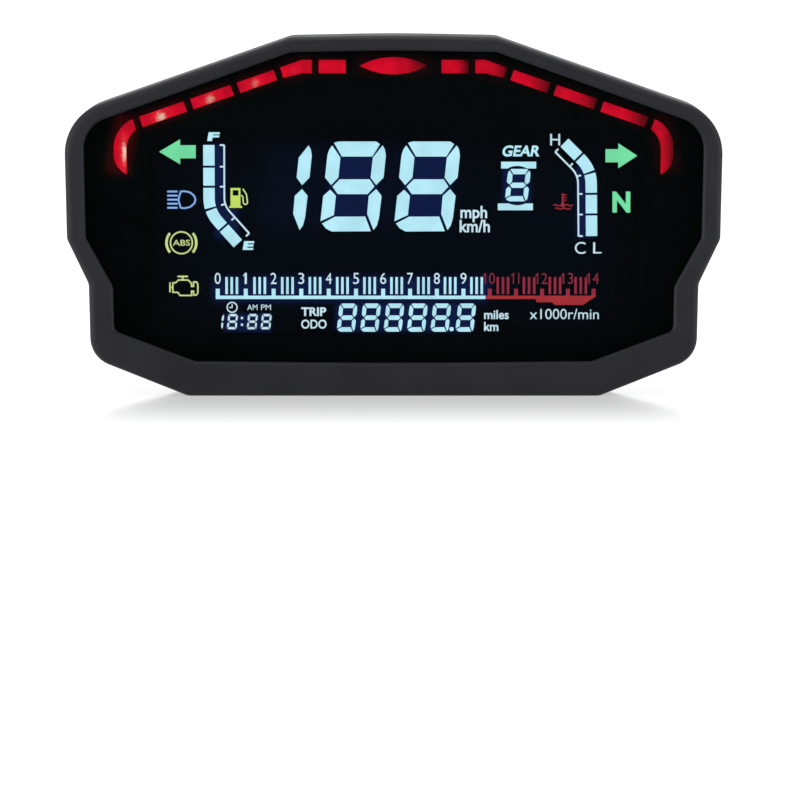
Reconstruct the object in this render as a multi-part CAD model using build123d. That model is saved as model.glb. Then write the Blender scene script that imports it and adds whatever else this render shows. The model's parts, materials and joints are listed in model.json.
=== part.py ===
"""Motorcycle instrument cluster, in millimetres.

X runs across the dash, to the right of someone reading it. Z is up and -Y faces the rider.
The origin is under the middle of the cluster, on the plane that its lower edge rests on.
A depth is a distance behind the bezel's front face.
"""

from build123d import *
from math import atan2, cos, degrees, radians, sin
import os

# ---------------------------------------------------------------- outline of the front
WIDTH = 165.0
HEIGHT = 90.5
TOP_ARCH = 0.5  # how much the middle of the upper edge stands above its ends
HEEL_Z = 9.7
WAIST_Z = 28.2
ELBOW_Z = 39.5
SHOULDER_DROP = 20.3  # from the highest point down to the upper corners
BASE_INSET = 30.8  # from the widest place in to each corner, from the lower edge up
HEEL_INSET = 6.4
WAIST_INSET = 6.0
ELBOW_INSET = 0.6
TOP_INSET = 56.8
OUTER_RADII = (4.0, 7.3, 3.0, 3.0, 13.3, 6.0)  # the same corners, and the shoulder before the last

# ---------------------------------------------------------------- bezel and window
BEZEL_WALL = 2.0
BEZEL_FLANGE = 2.6
BEZEL_DEPTH = 20.0
BEZEL_EDGE_RADIUS = 1.9
RIM_TOP = 3.7  # widths of the bezel's face around the window
RIM_BOTTOM = 8.2
RIM_ARCH = 0.5  # how much the window's lower edge dips in the middle
RIM_BASE = (1.9, RIM_BOTTOM + RIM_ARCH)  # from each corner of the outline in to the window's, and up
RIM_HEEL = (5.9, 6.7)
RIM_WAIST = (6.1, -0.7)
RIM_ELBOW = (4.7, 0.3)
RIM_SHOULDER = (4.8, -2.5)
WINDOW_RADII = (1.2, 2.2, 4.0, 2.0, 8.2, 3.0)
WINDOW_CHAMFER = 0.6
GASKET_THICKNESS = 0.4
GASKET_INSET = 0.4
LENS_THICKNESS = 2.0
MASK_THICKNESS = 1.5
FIT = 0.2  # clearance around pieces that are laid into the bezel

# ---------------------------------------------------------------- shift lights
SHIFT_BAND = 2.75  # width of a window in the row
SHIFT_INSET = 6.4  # from the sloping upper edge to the row
SHIFT_GAP = 1.7  # between two windows of the row
SHIFT_GROWTH = 1.1  # each sloping window is this much longer than the one above it
SHIFT_ROW_START = 6.9  # along the slope, from the upper edge's corner
SHIFT_ROW_END = 17.5  # along the slope, short of the side's upper corner
SHIFT_TOP_Z = 6.3  # the two upper windows' top, below the highest point
SHIFT_TOP_BAND = 3.4
SHIFT_TOP_START = 12.0
SHIFT_TOP_LENGTH = 6.8
SHIFT_BEND_INSET = 2.7  # from the upper edge's corner in to where the second window turns down
CENTRE_WINDOW_LENGTH = 17.0
CENTRE_WINDOW_BAND = 4.4
CENTRE_WINDOW_DROP = 5.6
SIDE_WINDOW_OUTSET = 12.2  # from the side to the curved end window
SIDE_WINDOW_BAND = 3.3
SIDE_WINDOW_TURN = 8.2  # below the upper corner, where the end window turns straight
SIDE_WINDOW_TIP = 14.8  # below the upper corner
SIDE_WINDOW_SWEEP = 5.0  # height of the curve that runs in to the tip
DIFFUSER_FIT = 0.1
DIFFUSER_FLANGE = 0.5
DIFFUSER_FLANGE_THICKNESS = 0.8
BAFFLE_MARGIN = 1.8
LAMP_SIZE = (2.0, 1.2)
LAMP_HEIGHT = 0.8

# ---------------------------------------------------------------- display
LCD_SIDE_MARGIN = 20.2  # from the side to the glass
LCD_TOP_MARGIN = 23.5
LCD_BOTTOM = 11.0
LCD_CROP = 4.0  # the upper corners are cut off
APERTURE_BORDER = 0.8
CONTACT_LEDGE = 3.0  # height of the strip where the front glass stands below the rear one
POLARISER = 0.2
GLASS = 1.1
CELL_GAP = 0.1
CELL_SEAL = 1.2
FILM = 0.3
LIGHT_GUIDE = 3.0
REFLECTOR = 0.2
HOLDER_WALL = 1.0
HOLDER_FLOOR = 1.0
LAMP_STRIP = 1.0
LAMP_STRIP_LAMPS = 8
STRIP_MARGIN = 4.0
ZEBRA_THICKNESS = 2.0

# ---------------------------------------------------------------- circuit board
BOARD_THICKNESS = 1.6
BOARD_FIT = 0.5
SWITCH_SIZE = 6.0
SWITCH_DEPTH = 4.0
SWITCH_LEG = (1.0, 0.8)
SWITCH_LEG_THICKNESS = 0.4
SWITCH_STEM_RADIUS = 1.7
SWITCH_STEM_LENGTH = 3.4
SWITCH_CAVITY = 0.3  # radial clearance of the stem in its switch

# ---------------------------------------------------------------- parts on the board
PROCESSOR = (-16.0, 58.0)  # places of the parts' middles
DISPLAY_DRIVER = (16.0, 58.0)
REGULATOR = (-20.0, 15.0)
COIL = (22.0, 15.0)
CAPACITOR = (34.0, 20.0)
CRYSTAL = (0.0, 66.0)
HEADER = (0.0, 24.0)
PROCESSOR_SIZE = 12.0
PROCESSOR_LEGS = 14  # along each side
DISPLAY_DRIVER_SIZE = 10.0
DISPLAY_DRIVER_LEGS = 12
CHIP_THICKNESS = 1.5
CHIP_STANDOFF = 0.1
CHIP_BEVEL = 0.25
LEG_PITCH = 0.75
LEG_LENGTH = 1.1
LEG_OVERLAP = 0.1  # of a leg with its chip
LEG_THICKNESS = 0.3
REGULATOR_SIZE = (6.5, 6.1)
REGULATOR_HEIGHT = 2.3
REGULATOR_TAB = (5.4, 2.2)
REGULATOR_TAB_OVERLAP = 0.55
REGULATOR_LEG = (0.9, 2.4)
REGULATOR_LEG_OVERLAP = 0.25
REGULATOR_LEG_OFFSET = 2.3
REGULATOR_METAL = 0.6
CAPACITOR_BASE = 8.3
CAPACITOR_BASE_HEIGHT = 1.0
CAPACITOR_RADIUS = 4.0
CAPACITOR_HEIGHT = 9.0
CAPACITOR_ROUNDING = 0.5
COIL_SIZE = 7.0
COIL_HEIGHT = 4.0
COIL_ROUNDING = 1.2
CRYSTAL_SIZE = (11.0, 4.4)
CRYSTAL_HEIGHT = 3.4
CRYSTAL_ROUNDING = 0.5
HEADER_SIZE = (26.0, 7.0)
HEADER_WALL = 1.0
HEADER_FLOOR = 2.0
HEADER_HEIGHT = 9.0
HEADER_KEY = (8.0, 2.0, 4.0)  # width, depth into the wall and height above the board of the notch
PIN = 0.6
PIN_ROW = 1.0  # from the header's middle line
PIN_PITCH = 2.2
PINS = 10  # in each row
PIN_TOP = 7.5

# ---------------------------------------------------------------- rear housing
FLANGE_THICKNESS = 3.0
SEAM_STEP = 0.3  # how far the flange stays inside the bezel's outline
BOX_DEPTH = 15.0
BOX_WALL = 2.2
BACK_THICKNESS = 2.4
BOX_SIDE_MARGIN = 20.5
BOX_TOP_MARGIN = 12.0
BOX_FOOT_WIDTH = 60.0
BOX_FOOT_FLARE = 5.0  # how much wider the foot is on each side at the heel's height
BOX_HIP = (5.0, 4.0)  # in from the side of the box, and up from the heel
BOX_SHOULDER_DROP = 10.0  # below the shoulder of the outline
BOX_TOP_WIDTH = 48.0
BOX_RADII = (2.0, 3.0, 5.0, 8.0, 8.0, 6.0)
BOX_EDGE_RADIUS = 2.0
SEAL_THICKNESS = 0.9
SEAL_DEPTH = 1.4
PRESS_RIB = 1.6

# ---------------------------------------------------------------- screws
HOUSING_BOSS = 3.2
HOUSING_SCREW = 1.3  # shank radius
HOUSING_SCREW_HEAD = 2.6
HOUSING_SCREW_HEAD_DEPTH = 1.8
HOUSING_SCREW_LENGTH = 4.4
BOARD_BOSS = 2.8
BOARD_SCREW = 1.0
BOARD_SCREW_HEAD = 2.0
BOARD_SCREW_HEAD_DEPTH = 1.5
BOARD_SCREW_LENGTH = 6.0
SCREW_ROUNDING = 0.5
RECESS_DEPTH = 0.9
SCREW_FIT = 0.05
HOLE_FIT = 0.3
# Places of screws: in from a corner of the outline, and up from it
HOUSING_SCREW_BASE = 10.5
HOUSING_SCREW_HEEL = (6.6, 3.2)
HOUSING_SCREW_SHOULDER = (6.2, -10.5)
HOUSING_SCREW_TOP = 5.5
BOARD_SCREW_LIFT = 1.0  # of the lowest one off the wall, beside its boss
BOARD_SCREW_WAIST = (8.8, -4.6)
BOARD_SCREW_ELBOW = (12.9, 5.5)
BOARD_SCREW_TOP = (-4.3, -17.9)

# ---------------------------------------------------------------- mounting and outlet
MOUNT_Z = 42.0
STUD_CIRCLE = 50.0  # pitch circle diameter
STUD_RADIUS = 2.5
STUD_SHOULDER_RADIUS = 3.2  # of the plain part through the back and its damper
STUD_REACH = 13.0  # how far a stud stands out of the back
STUD_HEAD_RADIUS = 4.5
STUD_HEAD_THICKNESS = 2.0
STUD_CHAMFER = 0.5
DAMPER_RADIUS = 7.0
DAMPER_THICKNESS = 2.5
DAMPER_ROUNDING = 0.6
GLAND_BORE = 4.0
GLAND_NECK = 6.0
GLAND_FLANGE = 8.0
GLAND_LIP = 2.0
GLAND_INNER_STEP = 0.5  # how much smaller the lip inside the wall is
GLAND_ROUNDING = 0.8
VENT_Z = 12.0
VENT_NECK = 2.5
VENT_CAP = 4.0
VENT_CAP_HEIGHT = 2.0
VENT_CHAMFER = 0.5
VENT_TAIL = 1.0  # how far the plug reaches inside

# ---------------------------------------------------------------- set buttons
BUTTON_X = 42.0
BUTTON_Z = 36.0
BUTTON_RADIUS = 4.5
BUTTON_REACH = 3.0
BUTTON_TRAVEL = 1.0
BUTTON_FIT = 0.3
BUTTON_ROUNDING = 1.0
BUTTON_SHOULDER = 1.2  # wider than the cap, so that the cap can't fall out
BUTTON_SHOULDER_DEPTH = 1.4
BUTTON_PLUNGER = 2.2
BUTTON_COLLAR = 1.6  # width of the raised ring around a button
BUTTON_COLLAR_HEIGHT = 1.0

TOTAL_DEPTH = BEZEL_DEPTH + FLANGE_THICKNESS + BOX_DEPTH + STUD_REACH
FRONT_Y = -TOTAL_DEPTH / 2
FLAT_RADIUS_SHARE = 0.7  # of the straight run beside a nearly flat corner

# Corners of the outline
HALF = WIDTH / 2
BASE_HALF = HALF - BASE_INSET
HEEL_HALF = HALF - HEEL_INSET
WAIST_HALF = HALF - WAIST_INSET
ELBOW_HALF = HALF - ELBOW_INSET
TOP_HALF = HALF - TOP_INSET
TOP_Z = HEIGHT - TOP_ARCH
SHOULDER_Z = HEIGHT - SHOULDER_DROP
SLOPE = atan2(TOP_Z - SHOULDER_Z, HALF - TOP_HALF)

# Depths of the layers, from the front
LENS_FRONT = BEZEL_FLANGE + GASKET_THICKNESS
MASK_FRONT = LENS_FRONT + LENS_THICKNESS
MASK_BACK = MASK_FRONT + MASK_THICKNESS
FRONT_GLASS = MASK_BACK + POLARISER
CELL = FRONT_GLASS + GLASS
REAR_GLASS = CELL + CELL_GAP
REAR_POLARISER = REAR_GLASS + GLASS
DIFFUSER_FILM = REAR_POLARISER + POLARISER
GUIDE_FRONT = DIFFUSER_FILM + FILM
REFLECTOR_FRONT = GUIDE_FRONT + LIGHT_GUIDE
HOLDER_FLOOR_FRONT = REFLECTOR_FRONT + REFLECTOR
BOARD_FRONT = HOLDER_FLOOR_FRONT + HOLDER_FLOOR
BOARD_BACK = BOARD_FRONT + BOARD_THICKNESS
BAFFLE_FRONT = MASK_BACK + DIFFUSER_FLANGE_THICKNESS
FLANGE_BACK = BEZEL_DEPTH + FLANGE_THICKNESS
BACK = FLANGE_BACK + BOX_DEPTH
BACK_INSIDE = BACK - BACK_THICKNESS


# ---------------------------------------------------------------- helpers
def depth_plane(depth):
    """The upright plane at a depth, with its own X and Y along the cluster's X and Z."""
    return Plane(origin=(0, FRONT_Y + depth, 0), x_dir=(1, 0, 0), z_dir=(0, -1, 0))


def slab(profile, front, back):
    """A profile made solid between two depths."""
    return extrude(depth_plane(back) * profile, back - front)


def disc(x, z, radius, front, back):
    """A round bar along the depth."""
    return slab(Pos(x, z) * Circle(radius), front, back)


def block(x, z, width, height, front, back, turn=0.0):
    """A box, turned about its own middle in the plane of the front."""
    return slab(Pos(x, z) * Rot(0, 0, turn) * Rectangle(width, height), front, back)


def closed_shape(corners):
    """A face from (x, z, radius) corners."""
    points = [(x, z) for x, z, _ in corners]
    return make_face(FilletPolyline(*points, radius=[r for _, _, r in corners], close=True))


def symmetric_shape(right, top=None, bottom=None):
    """A face from its right-hand corners, bottom first, and the middles of its edges."""
    left = [(-x, z, r) for x, z, r in reversed(right)]
    return closed_shape([*([bottom] if bottom else []), *right, *([top] if top else []), *left])


def grow(profile, amount):
    """A profile with its edge moved out, or in where the amount is negative."""
    return offset(profile, amount, kind=Kind.INTERSECTION)


def both_sides(x, z):
    """A place and its mirror image."""
    return [(x, z), (-x, z)]


def arch_radius(half_width, rise):
    """A radius that turns a nearly flat corner into an arch over most of the edge."""
    return FLAT_RADIUS_SHARE * half_width / rise * half_width / 2


def export(name, *solids):
    """Write one node, which holds one solid or a group of equal ones."""
    shape = solids[0] if len(solids) == 1 else Compound(children=list(solids))
    export_step(shape, os.path.join("parts", name + ".step"))


# ---------------------------------------------------------------- outlines
OUTER_CORNERS = [
    (BASE_HALF, 0),
    (HEEL_HALF, HEEL_Z),
    (WAIST_HALF, WAIST_Z),
    (ELBOW_HALF, ELBOW_Z),
    (HALF, SHOULDER_Z),
    (TOP_HALF, TOP_Z),
]


def inset(corner, move):
    """A place that lies in from a corner of the outline, and up from it."""
    return corner[0] - move[0], corner[1] + move[1]


def outer_outline():
    """The cluster seen from the front."""
    right = [(*corner, radius) for corner, radius in zip(OUTER_CORNERS, OUTER_RADII)]
    return symmetric_shape(right, top=(0, HEIGHT, arch_radius(TOP_HALF, TOP_ARCH)))


def window_outline():
    """The opening in the bezel, which follows the outline at the widths of its rim."""
    rim = [RIM_BASE, RIM_HEEL, RIM_WAIST, RIM_ELBOW, RIM_SHOULDER, (0, -RIM_TOP)]
    places = [inset(corner, move) for corner, move in zip(OUTER_CORNERS, rim)]
    return symmetric_shape(
        [(*place, radius) for place, radius in zip(places, WINDOW_RADII)],
        top=(0, HEIGHT - RIM_TOP, arch_radius(TOP_HALF, TOP_ARCH)),
        bottom=(0, RIM_BOTTOM, arch_radius(BASE_HALF, RIM_ARCH)),
    )


def box_outline():
    """The raised box in the middle of the back, which stands on the same plane."""
    side = HALF - BOX_SIDE_MARGIN
    places = [
        (BOX_FOOT_WIDTH / 2, 0),
        (BOX_FOOT_WIDTH / 2 + BOX_FOOT_FLARE, HEEL_Z),
        inset((side, HEEL_Z), BOX_HIP),
        (side, WAIST_Z),
        (side, SHOULDER_Z - BOX_SHOULDER_DROP),
        (BOX_TOP_WIDTH / 2, HEIGHT - BOX_TOP_MARGIN),
    ]
    return symmetric_shape([(*place, radius) for place, radius in zip(places, BOX_RADII)])


def glass_outline(bottom):
    """The display glass, down to a given height."""
    side = HALF - LCD_SIDE_MARGIN
    top = HEIGHT - LCD_TOP_MARGIN
    right = [(side, bottom), (side, top - LCD_CROP), (side - LCD_CROP, top)]
    left = [(-x, z) for x, z in reversed(right)]
    return make_face(Polyline(*right, *left, close=True))


OUTER = outer_outline()
WINDOW = window_outline()
CAVITY = grow(OUTER, -BEZEL_WALL)
INLAY = grow(OUTER, -BEZEL_WALL - FIT)
BOX = box_outline()
DISPLAY = glass_outline(LCD_BOTTOM)
REAR_DISPLAY = glass_outline(LCD_BOTTOM + CONTACT_LEDGE)

# ---------------------------------------------------------------- shift light windows
SLOPE_RUN = (HALF - TOP_HALF) / cos(SLOPE)


def slope_point(along, inset):
    """A place measured along the sloping upper edge from its inner corner, and in from it."""
    x = TOP_HALF + along * cos(SLOPE) - inset * sin(SLOPE)
    return x, TOP_Z - along * sin(SLOPE) - inset * cos(SLOPE)


def centre_window():
    """The pointed window in the middle."""
    half = CENTRE_WINDOW_LENGTH / 2
    top = HEIGHT - CENTRE_WINDOW_DROP
    middle = top - CENTRE_WINDOW_BAND / 2
    upper = ThreePointArc((-half, middle), (0, top), (half, middle))
    lower = ThreePointArc((half, middle), (0, top - CENTRE_WINDOW_BAND), (-half, middle))
    return make_face([upper, lower])


def upper_windows():
    """The straight window beside the middle one, and the next, which turns down the slope."""
    top = HEIGHT - SHIFT_TOP_Z
    low = top - SHIFT_TOP_BAND
    end = SHIFT_TOP_START + SHIFT_TOP_LENGTH
    straight = [(SHIFT_TOP_START, low), (end, low), (end, top), (SHIFT_TOP_START, top)]
    bend = TOP_HALF - SHIFT_BEND_INSET
    row = SHIFT_ROW_START - SHIFT_GAP
    bent = [
        (end + SHIFT_GAP, low),
        (bend, low),
        slope_point(row, SHIFT_INSET + SHIFT_BAND),
        slope_point(row, SHIFT_INSET),
        (bend, top),
        (end + SHIFT_GAP, top),
    ]
    return [make_face(Polyline(*points, close=True)) for points in (straight, bent)]


def row_windows():
    """The three windows along the slope."""
    run = SLOPE_RUN - SHIFT_ROW_START - SHIFT_ROW_END - 2 * SHIFT_GAP
    length = run / (1 + SHIFT_GROWTH + SHIFT_GROWTH**2)
    start = SHIFT_ROW_START
    windows = []
    for _ in range(3):
        along = start + length / 2
        x, z = slope_point(along, SHIFT_INSET + SHIFT_BAND / 2)
        turn = Rot(0, 0, -degrees(SLOPE))
        windows.append(Pos(x, z) * turn * Rectangle(length, SHIFT_BAND))
        start += length + SHIFT_GAP
        length *= SHIFT_GROWTH
    return windows


def side_window():
    """The curved window that ends the row."""
    outer_x = HALF - SIDE_WINDOW_OUTSET
    inner_x = outer_x - SIDE_WINDOW_BAND
    turn_z = SHOULDER_Z - SIDE_WINDOW_TURN
    along = SLOPE_RUN - SHIFT_ROW_END + SHIFT_GAP
    outer_tip = slope_point(along, SHIFT_INSET)
    inner_tip = slope_point(along, SHIFT_INSET + SHIFT_BAND)
    tip_z = SHOULDER_Z - SIDE_WINDOW_TIP
    low_z = tip_z + SIDE_WINDOW_SWEEP
    outline = [
        TangentArc((outer_x, turn_z), outer_tip, tangent=(0, 1)),
        Line((outer_x, turn_z), (outer_x, low_z)),
        TangentArc((outer_x, low_z), (inner_x, tip_z), tangent=(0, -1)),
        Line((inner_x, tip_z), (inner_x, turn_z)),
        TangentArc((inner_x, turn_z), inner_tip, tangent=(0, 1)),
        Line(inner_tip, outer_tip),
    ]
    return make_face(outline)


def shift_windows():
    """Every window by name, from the middle outwards on both sides."""
    right = [*upper_windows(), *row_windows(), side_window()]
    windows = {"shift_light_centre": centre_window()}
    for number, window in enumerate(right, start=1):
        windows[f"shift_light_right_{number}"] = window
        windows[f"shift_light_left_{number}"] = mirror(window, Plane.YZ)
    return windows


SHIFT_WINDOWS = shift_windows()

# ---------------------------------------------------------------- places of screws
HOUSING_SCREWS_LONG = [
    *both_sides(BASE_HALF - HOUSING_SCREW_BASE, BEZEL_WALL + HOUSING_BOSS),
    *both_sides(*inset((HEEL_HALF, HEEL_Z), HOUSING_SCREW_HEEL)),
    *both_sides(*inset((HALF, SHOULDER_Z), HOUSING_SCREW_SHOULDER)),
]
HOUSING_SCREWS_SHORT = both_sides(TOP_HALF - HOUSING_SCREW_TOP, TOP_Z - BEZEL_WALL - HOUSING_BOSS)
BOARD_SCREWS = [
    (0, BEZEL_WALL + BOARD_BOSS + BOARD_SCREW_LIFT),
    *both_sides(*inset((ELBOW_HALF, ELBOW_Z), BOARD_SCREW_ELBOW)),
    *both_sides(*inset((WAIST_HALF, WAIST_Z), BOARD_SCREW_WAIST)),
    *both_sides(*inset((TOP_HALF, TOP_Z), BOARD_SCREW_TOP)),
]
STUDS = [
    (STUD_CIRCLE / 2 * cos(radians(angle)), MOUNT_Z + STUD_CIRCLE / 2 * sin(radians(angle)))
    for angle in (90, 210, 330)
]
BUTTONS = {"a": (BUTTON_X, BUTTON_Z), "b": (-BUTTON_X, BUTTON_Z)}


# ---------------------------------------------------------------- bezel, window and mask
def boss_profile(x, z, radius, reach):
    """A round boss with a web that runs out to the nearest part of the wall."""
    web = Pos(x, z) * Rot(0, 0, degrees(atan2(z - HEIGHT / 2, x))) * Pos(reach / 2, 0)
    return Pos(x, z) * Circle(radius) + web * Rectangle(reach, radius)


def front_bezel():
    """The moulded frame, with its bosses for the housing screws."""
    shell = slab(OUTER, 0, BEZEL_DEPTH)
    front_edges = shell.faces().sort_by(Axis.Y)[0].outer_wire().edges()
    shell = fillet(front_edges, BEZEL_EDGE_RADIUS)
    shell -= slab(CAVITY, BEZEL_FLANGE, BEZEL_DEPTH)
    shell -= slab(WINDOW, 0, BEZEL_FLANGE)
    rim = shell.faces().sort_by(Axis.Y)[0].inner_wires()[0].edges()
    shell = chamfer(rim, WINDOW_CHAMFER)
    within = grow(OUTER, -BEZEL_WALL / 2)
    behind_board = BOARD_BACK + FIT
    for x, z in HOUSING_SCREWS_LONG + HOUSING_SCREWS_SHORT:
        front = MASK_BACK + FIT if (x, z) in HOUSING_SCREWS_LONG else behind_board
        profile = boss_profile(x, z, HOUSING_BOSS, HOUSING_BOSS + BEZEL_WALL) & within
        shell += slab(profile, front, BEZEL_DEPTH)
        shell -= disc(x, z, HOUSING_SCREW + SCREW_FIT, behind_board, BEZEL_DEPTH)
    return shell - slab(seal_profile(), BEZEL_DEPTH - SEAL_DEPTH, BEZEL_DEPTH)


def seal_profile():
    """The closed strip just inside the bezel's wall where the housing seal lies."""
    return grow(OUTER, -BEZEL_WALL + SEAL_THICKNESS) - CAVITY


def window_gasket():
    return slab(INLAY - grow(WINDOW, GASKET_INSET), BEZEL_FLANGE, LENS_FRONT)


def window_lens():
    return slab(INLAY, LENS_FRONT, MASK_FRONT)


def light_mask():
    """The black plate behind the window, with the bosses that carry the circuit board."""
    plate = slab(INLAY, MASK_FRONT, MASK_BACK)
    plate -= slab(grow(REAR_DISPLAY, -APERTURE_BORDER), MASK_FRONT, MASK_BACK)
    for window in SHIFT_WINDOWS.values():
        plate -= slab(window, MASK_FRONT, MASK_BACK)
    for x, z in BOARD_SCREWS:
        plate += disc(x, z, BOARD_BOSS, MASK_BACK, BOARD_FRONT)
        plate -= disc(x, z, BOARD_SCREW + SCREW_FIT, MASK_BACK, BOARD_FRONT)
    return plate


# ---------------------------------------------------------------- shift lights
def shift_light(window):
    """A red diffuser: a pad that fills its slot and a flange behind the mask."""
    pad = slab(grow(window, -DIFFUSER_FIT), MASK_FRONT + FIT, MASK_BACK)
    return pad + slab(grow(window, DIFFUSER_FLANGE), MASK_BACK, BAFFLE_FRONT)


def light_baffle():
    """The walls between the lamps, from the diffusers back to the board."""
    profile = Sketch() + [grow(window, BAFFLE_MARGIN) for window in SHIFT_WINDOWS.values()]
    profile &= INLAY
    profile -= grow(DISPLAY, HOLDER_WALL + FIT)
    body = slab(profile, BAFFLE_FRONT, BOARD_FRONT)
    for window in SHIFT_WINDOWS.values():
        body -= slab(window, BAFFLE_FRONT, BOARD_FRONT)
    return body


def shift_lamp(name, window):
    """One lamp on the board, in line with its window, or with the straight part of a side window."""
    middle = window.bounding_box().center()
    side = -1 if "left" in name else 1
    x, z = middle.X, middle.Y
    turn = -side * degrees(SLOPE) if name[-1] in "345" else 0.0
    if name.endswith("6"):
        x = side * (HALF - SIDE_WINDOW_OUTSET - SIDE_WINDOW_BAND / 2)
        z = SHOULDER_Z - SIDE_WINDOW_TURN - SIDE_WINDOW_BAND / 2
        turn = 90.0
    return block(x, z, *LAMP_SIZE, BOARD_FRONT - LAMP_HEIGHT, BOARD_FRONT, turn)


# ---------------------------------------------------------------- display
def cell_seal():
    """The glued edge between the two glasses."""
    ring = REAR_DISPLAY - grow(REAR_DISPLAY, -CELL_SEAL)
    return slab(ring, CELL, REAR_GLASS)


def guide_outline():
    """The light guide, which leaves room for its lamps along the top."""
    below_lamps = Pos(0, strip_bottom() / 2) * Rectangle(WIDTH, strip_bottom())
    return REAR_DISPLAY & below_lamps


def strip_top():
    return HEIGHT - LCD_TOP_MARGIN - SCREW_FIT


def strip_bottom():
    """The lower side of the lamps on the backlight strip."""
    return strip_top() - 2 * LAMP_STRIP


def backlight_strip():
    """A narrow board with a row of lamps that shine down into the light guide."""
    length = WIDTH - 2 * LCD_SIDE_MARGIN - 2 * LCD_CROP - STRIP_MARGIN
    front = GUIDE_FRONT
    strip = block(0, strip_top() - LAMP_STRIP / 2, length, LAMP_STRIP, front, REFLECTOR_FRONT)
    pitch = length / LAMP_STRIP_LAMPS
    for number in range(LAMP_STRIP_LAMPS):
        x = (number - (LAMP_STRIP_LAMPS - 1) / 2) * pitch
        z = strip_bottom() + LAMP_STRIP / 2
        strip += block(x, z, LAMP_SIZE[0] * 1.5, LAMP_STRIP, front + FILM, REFLECTOR_FRONT - FILM)
    return strip


def zebra_place():
    """The middle height and the height of the contact strip."""
    return LCD_BOTTOM + CONTACT_LEDGE / 2, ZEBRA_THICKNESS


def zebra_width():
    return WIDTH - 2 * LCD_SIDE_MARGIN - STRIP_MARGIN


def contact_strip():
    """The striped rubber bar that joins the glass to the board."""
    z, height = zebra_place()
    return block(0, z, zebra_width(), height, CELL, BOARD_FRONT)


def display_holder():
    """The white tray around the display and its backlight."""
    tray = slab(grow(DISPLAY, HOLDER_WALL), MASK_BACK, BOARD_FRONT)
    tray -= slab(DISPLAY, MASK_BACK, HOLDER_FLOOR_FRONT)
    z, height = zebra_place()
    slot = (zebra_width() + FIT, height + FIT)
    return tray - block(0, z, *slot, HOLDER_FLOOR_FRONT, BOARD_FRONT)


# ---------------------------------------------------------------- circuit board
def circuit_board():
    """The main board, notched around the bezel's bosses."""
    profile = grow(OUTER, -BEZEL_WALL - BOARD_FIT)
    board = slab(profile, BOARD_FRONT, BOARD_BACK)
    for x, z in HOUSING_SCREWS_LONG:
        notch = boss_profile(x, z, HOUSING_BOSS + BOARD_FIT, 2 * HOUSING_BOSS + BEZEL_WALL)
        board -= slab(notch, BOARD_FRONT, BOARD_BACK)
    for x, z in BOARD_SCREWS:
        board -= disc(x, z, BOARD_SCREW + HOLE_FIT, BOARD_FRONT, BOARD_BACK)
    return board


def chip(place, size, legs):
    """A flat square chip with legs along its four sides."""
    body = block(*place, size, size, BOARD_BACK + CHIP_STANDOFF, BOARD_BACK + CHIP_THICKNESS)
    body = chamfer(body.faces().sort_by(Axis.Y)[-1].edges(), CHIP_BEVEL)
    leg_x = (size + LEG_LENGTH) / 2 - LEG_OVERLAP
    for side in range(4):
        for number in range(legs):
            shift = (number - (legs - 1) / 2) * LEG_PITCH
            spot = Pos(*place) * Rot(0, 0, 90 * side) * Pos(leg_x, shift)
            leg = spot * Rectangle(LEG_LENGTH, LEG_PITCH / 2)
            body += slab(leg, BOARD_BACK, BOARD_BACK + LEG_THICKNESS)
    return body


def regulator():
    """A power chip with its metal tab."""
    x, z = REGULATOR
    metal = BOARD_BACK + REGULATOR_METAL
    body = block(x, z, *REGULATOR_SIZE, BOARD_BACK + CHIP_STANDOFF, BOARD_BACK + REGULATOR_HEIGHT)
    tab_z = z + (REGULATOR_SIZE[1] + REGULATOR_TAB[1]) / 2 - REGULATOR_TAB_OVERLAP
    body += block(x, tab_z, *REGULATOR_TAB, BOARD_BACK, metal)
    leg_z = z - (REGULATOR_SIZE[1] + REGULATOR_LEG[1]) / 2 + REGULATOR_LEG_OVERLAP
    for leg_x, _ in both_sides(REGULATOR_LEG_OFFSET, 0):
        body += block(x + leg_x, leg_z, *REGULATOR_LEG, BOARD_BACK, metal)
    return body


def capacitor(x, z):
    """An upright can on its square base."""
    seat = BOARD_BACK + CAPACITOR_BASE_HEIGHT
    base = block(x, z, CAPACITOR_BASE, CAPACITOR_BASE, BOARD_BACK, seat)
    can = disc(x, z, CAPACITOR_RADIUS, seat, BOARD_BACK + CAPACITOR_HEIGHT)
    return base + fillet(can.edges().sort_by(Axis.Y)[-1], CAPACITOR_ROUNDING)


def coil():
    """A shielded coil."""
    body = block(*COIL, COIL_SIZE, COIL_SIZE, BOARD_BACK, BOARD_BACK + COIL_HEIGHT)
    return fillet(body.edges().filter_by(Axis.Y), COIL_ROUNDING)


def crystal():
    """The clock's crystal in its can."""
    body = slab(Pos(*CRYSTAL) * SlotOverall(*CRYSTAL_SIZE), BOARD_BACK, BOARD_BACK + CRYSTAL_HEIGHT)
    return fillet(body.edges().sort_by(Axis.Y)[-4:], CRYSTAL_ROUNDING)


def harness_header():
    """The plug-in header where the wiring joins the board."""
    x, z = HEADER
    width, height = HEADER_SIZE
    floor, top = BOARD_BACK + HEADER_FLOOR, BOARD_BACK + HEADER_HEIGHT
    body = block(x, z, width, height, BOARD_BACK, top)
    body -= block(x, z, width - 2 * HEADER_WALL, height - 2 * HEADER_WALL, floor, top)
    key_width, key_depth, key_height = HEADER_KEY
    key_z = z - (height - HEADER_WALL) / 2
    body -= block(x, key_z, key_width, key_depth, BOARD_BACK + key_height, top)
    for row in (-PIN_ROW, PIN_ROW):
        for number in range(PINS):
            pin_x = x + (number - (PINS - 1) / 2) * PIN_PITCH
            body += block(pin_x, z + row, PIN, PIN, floor, BOARD_BACK + PIN_TOP)
    return body


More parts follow.
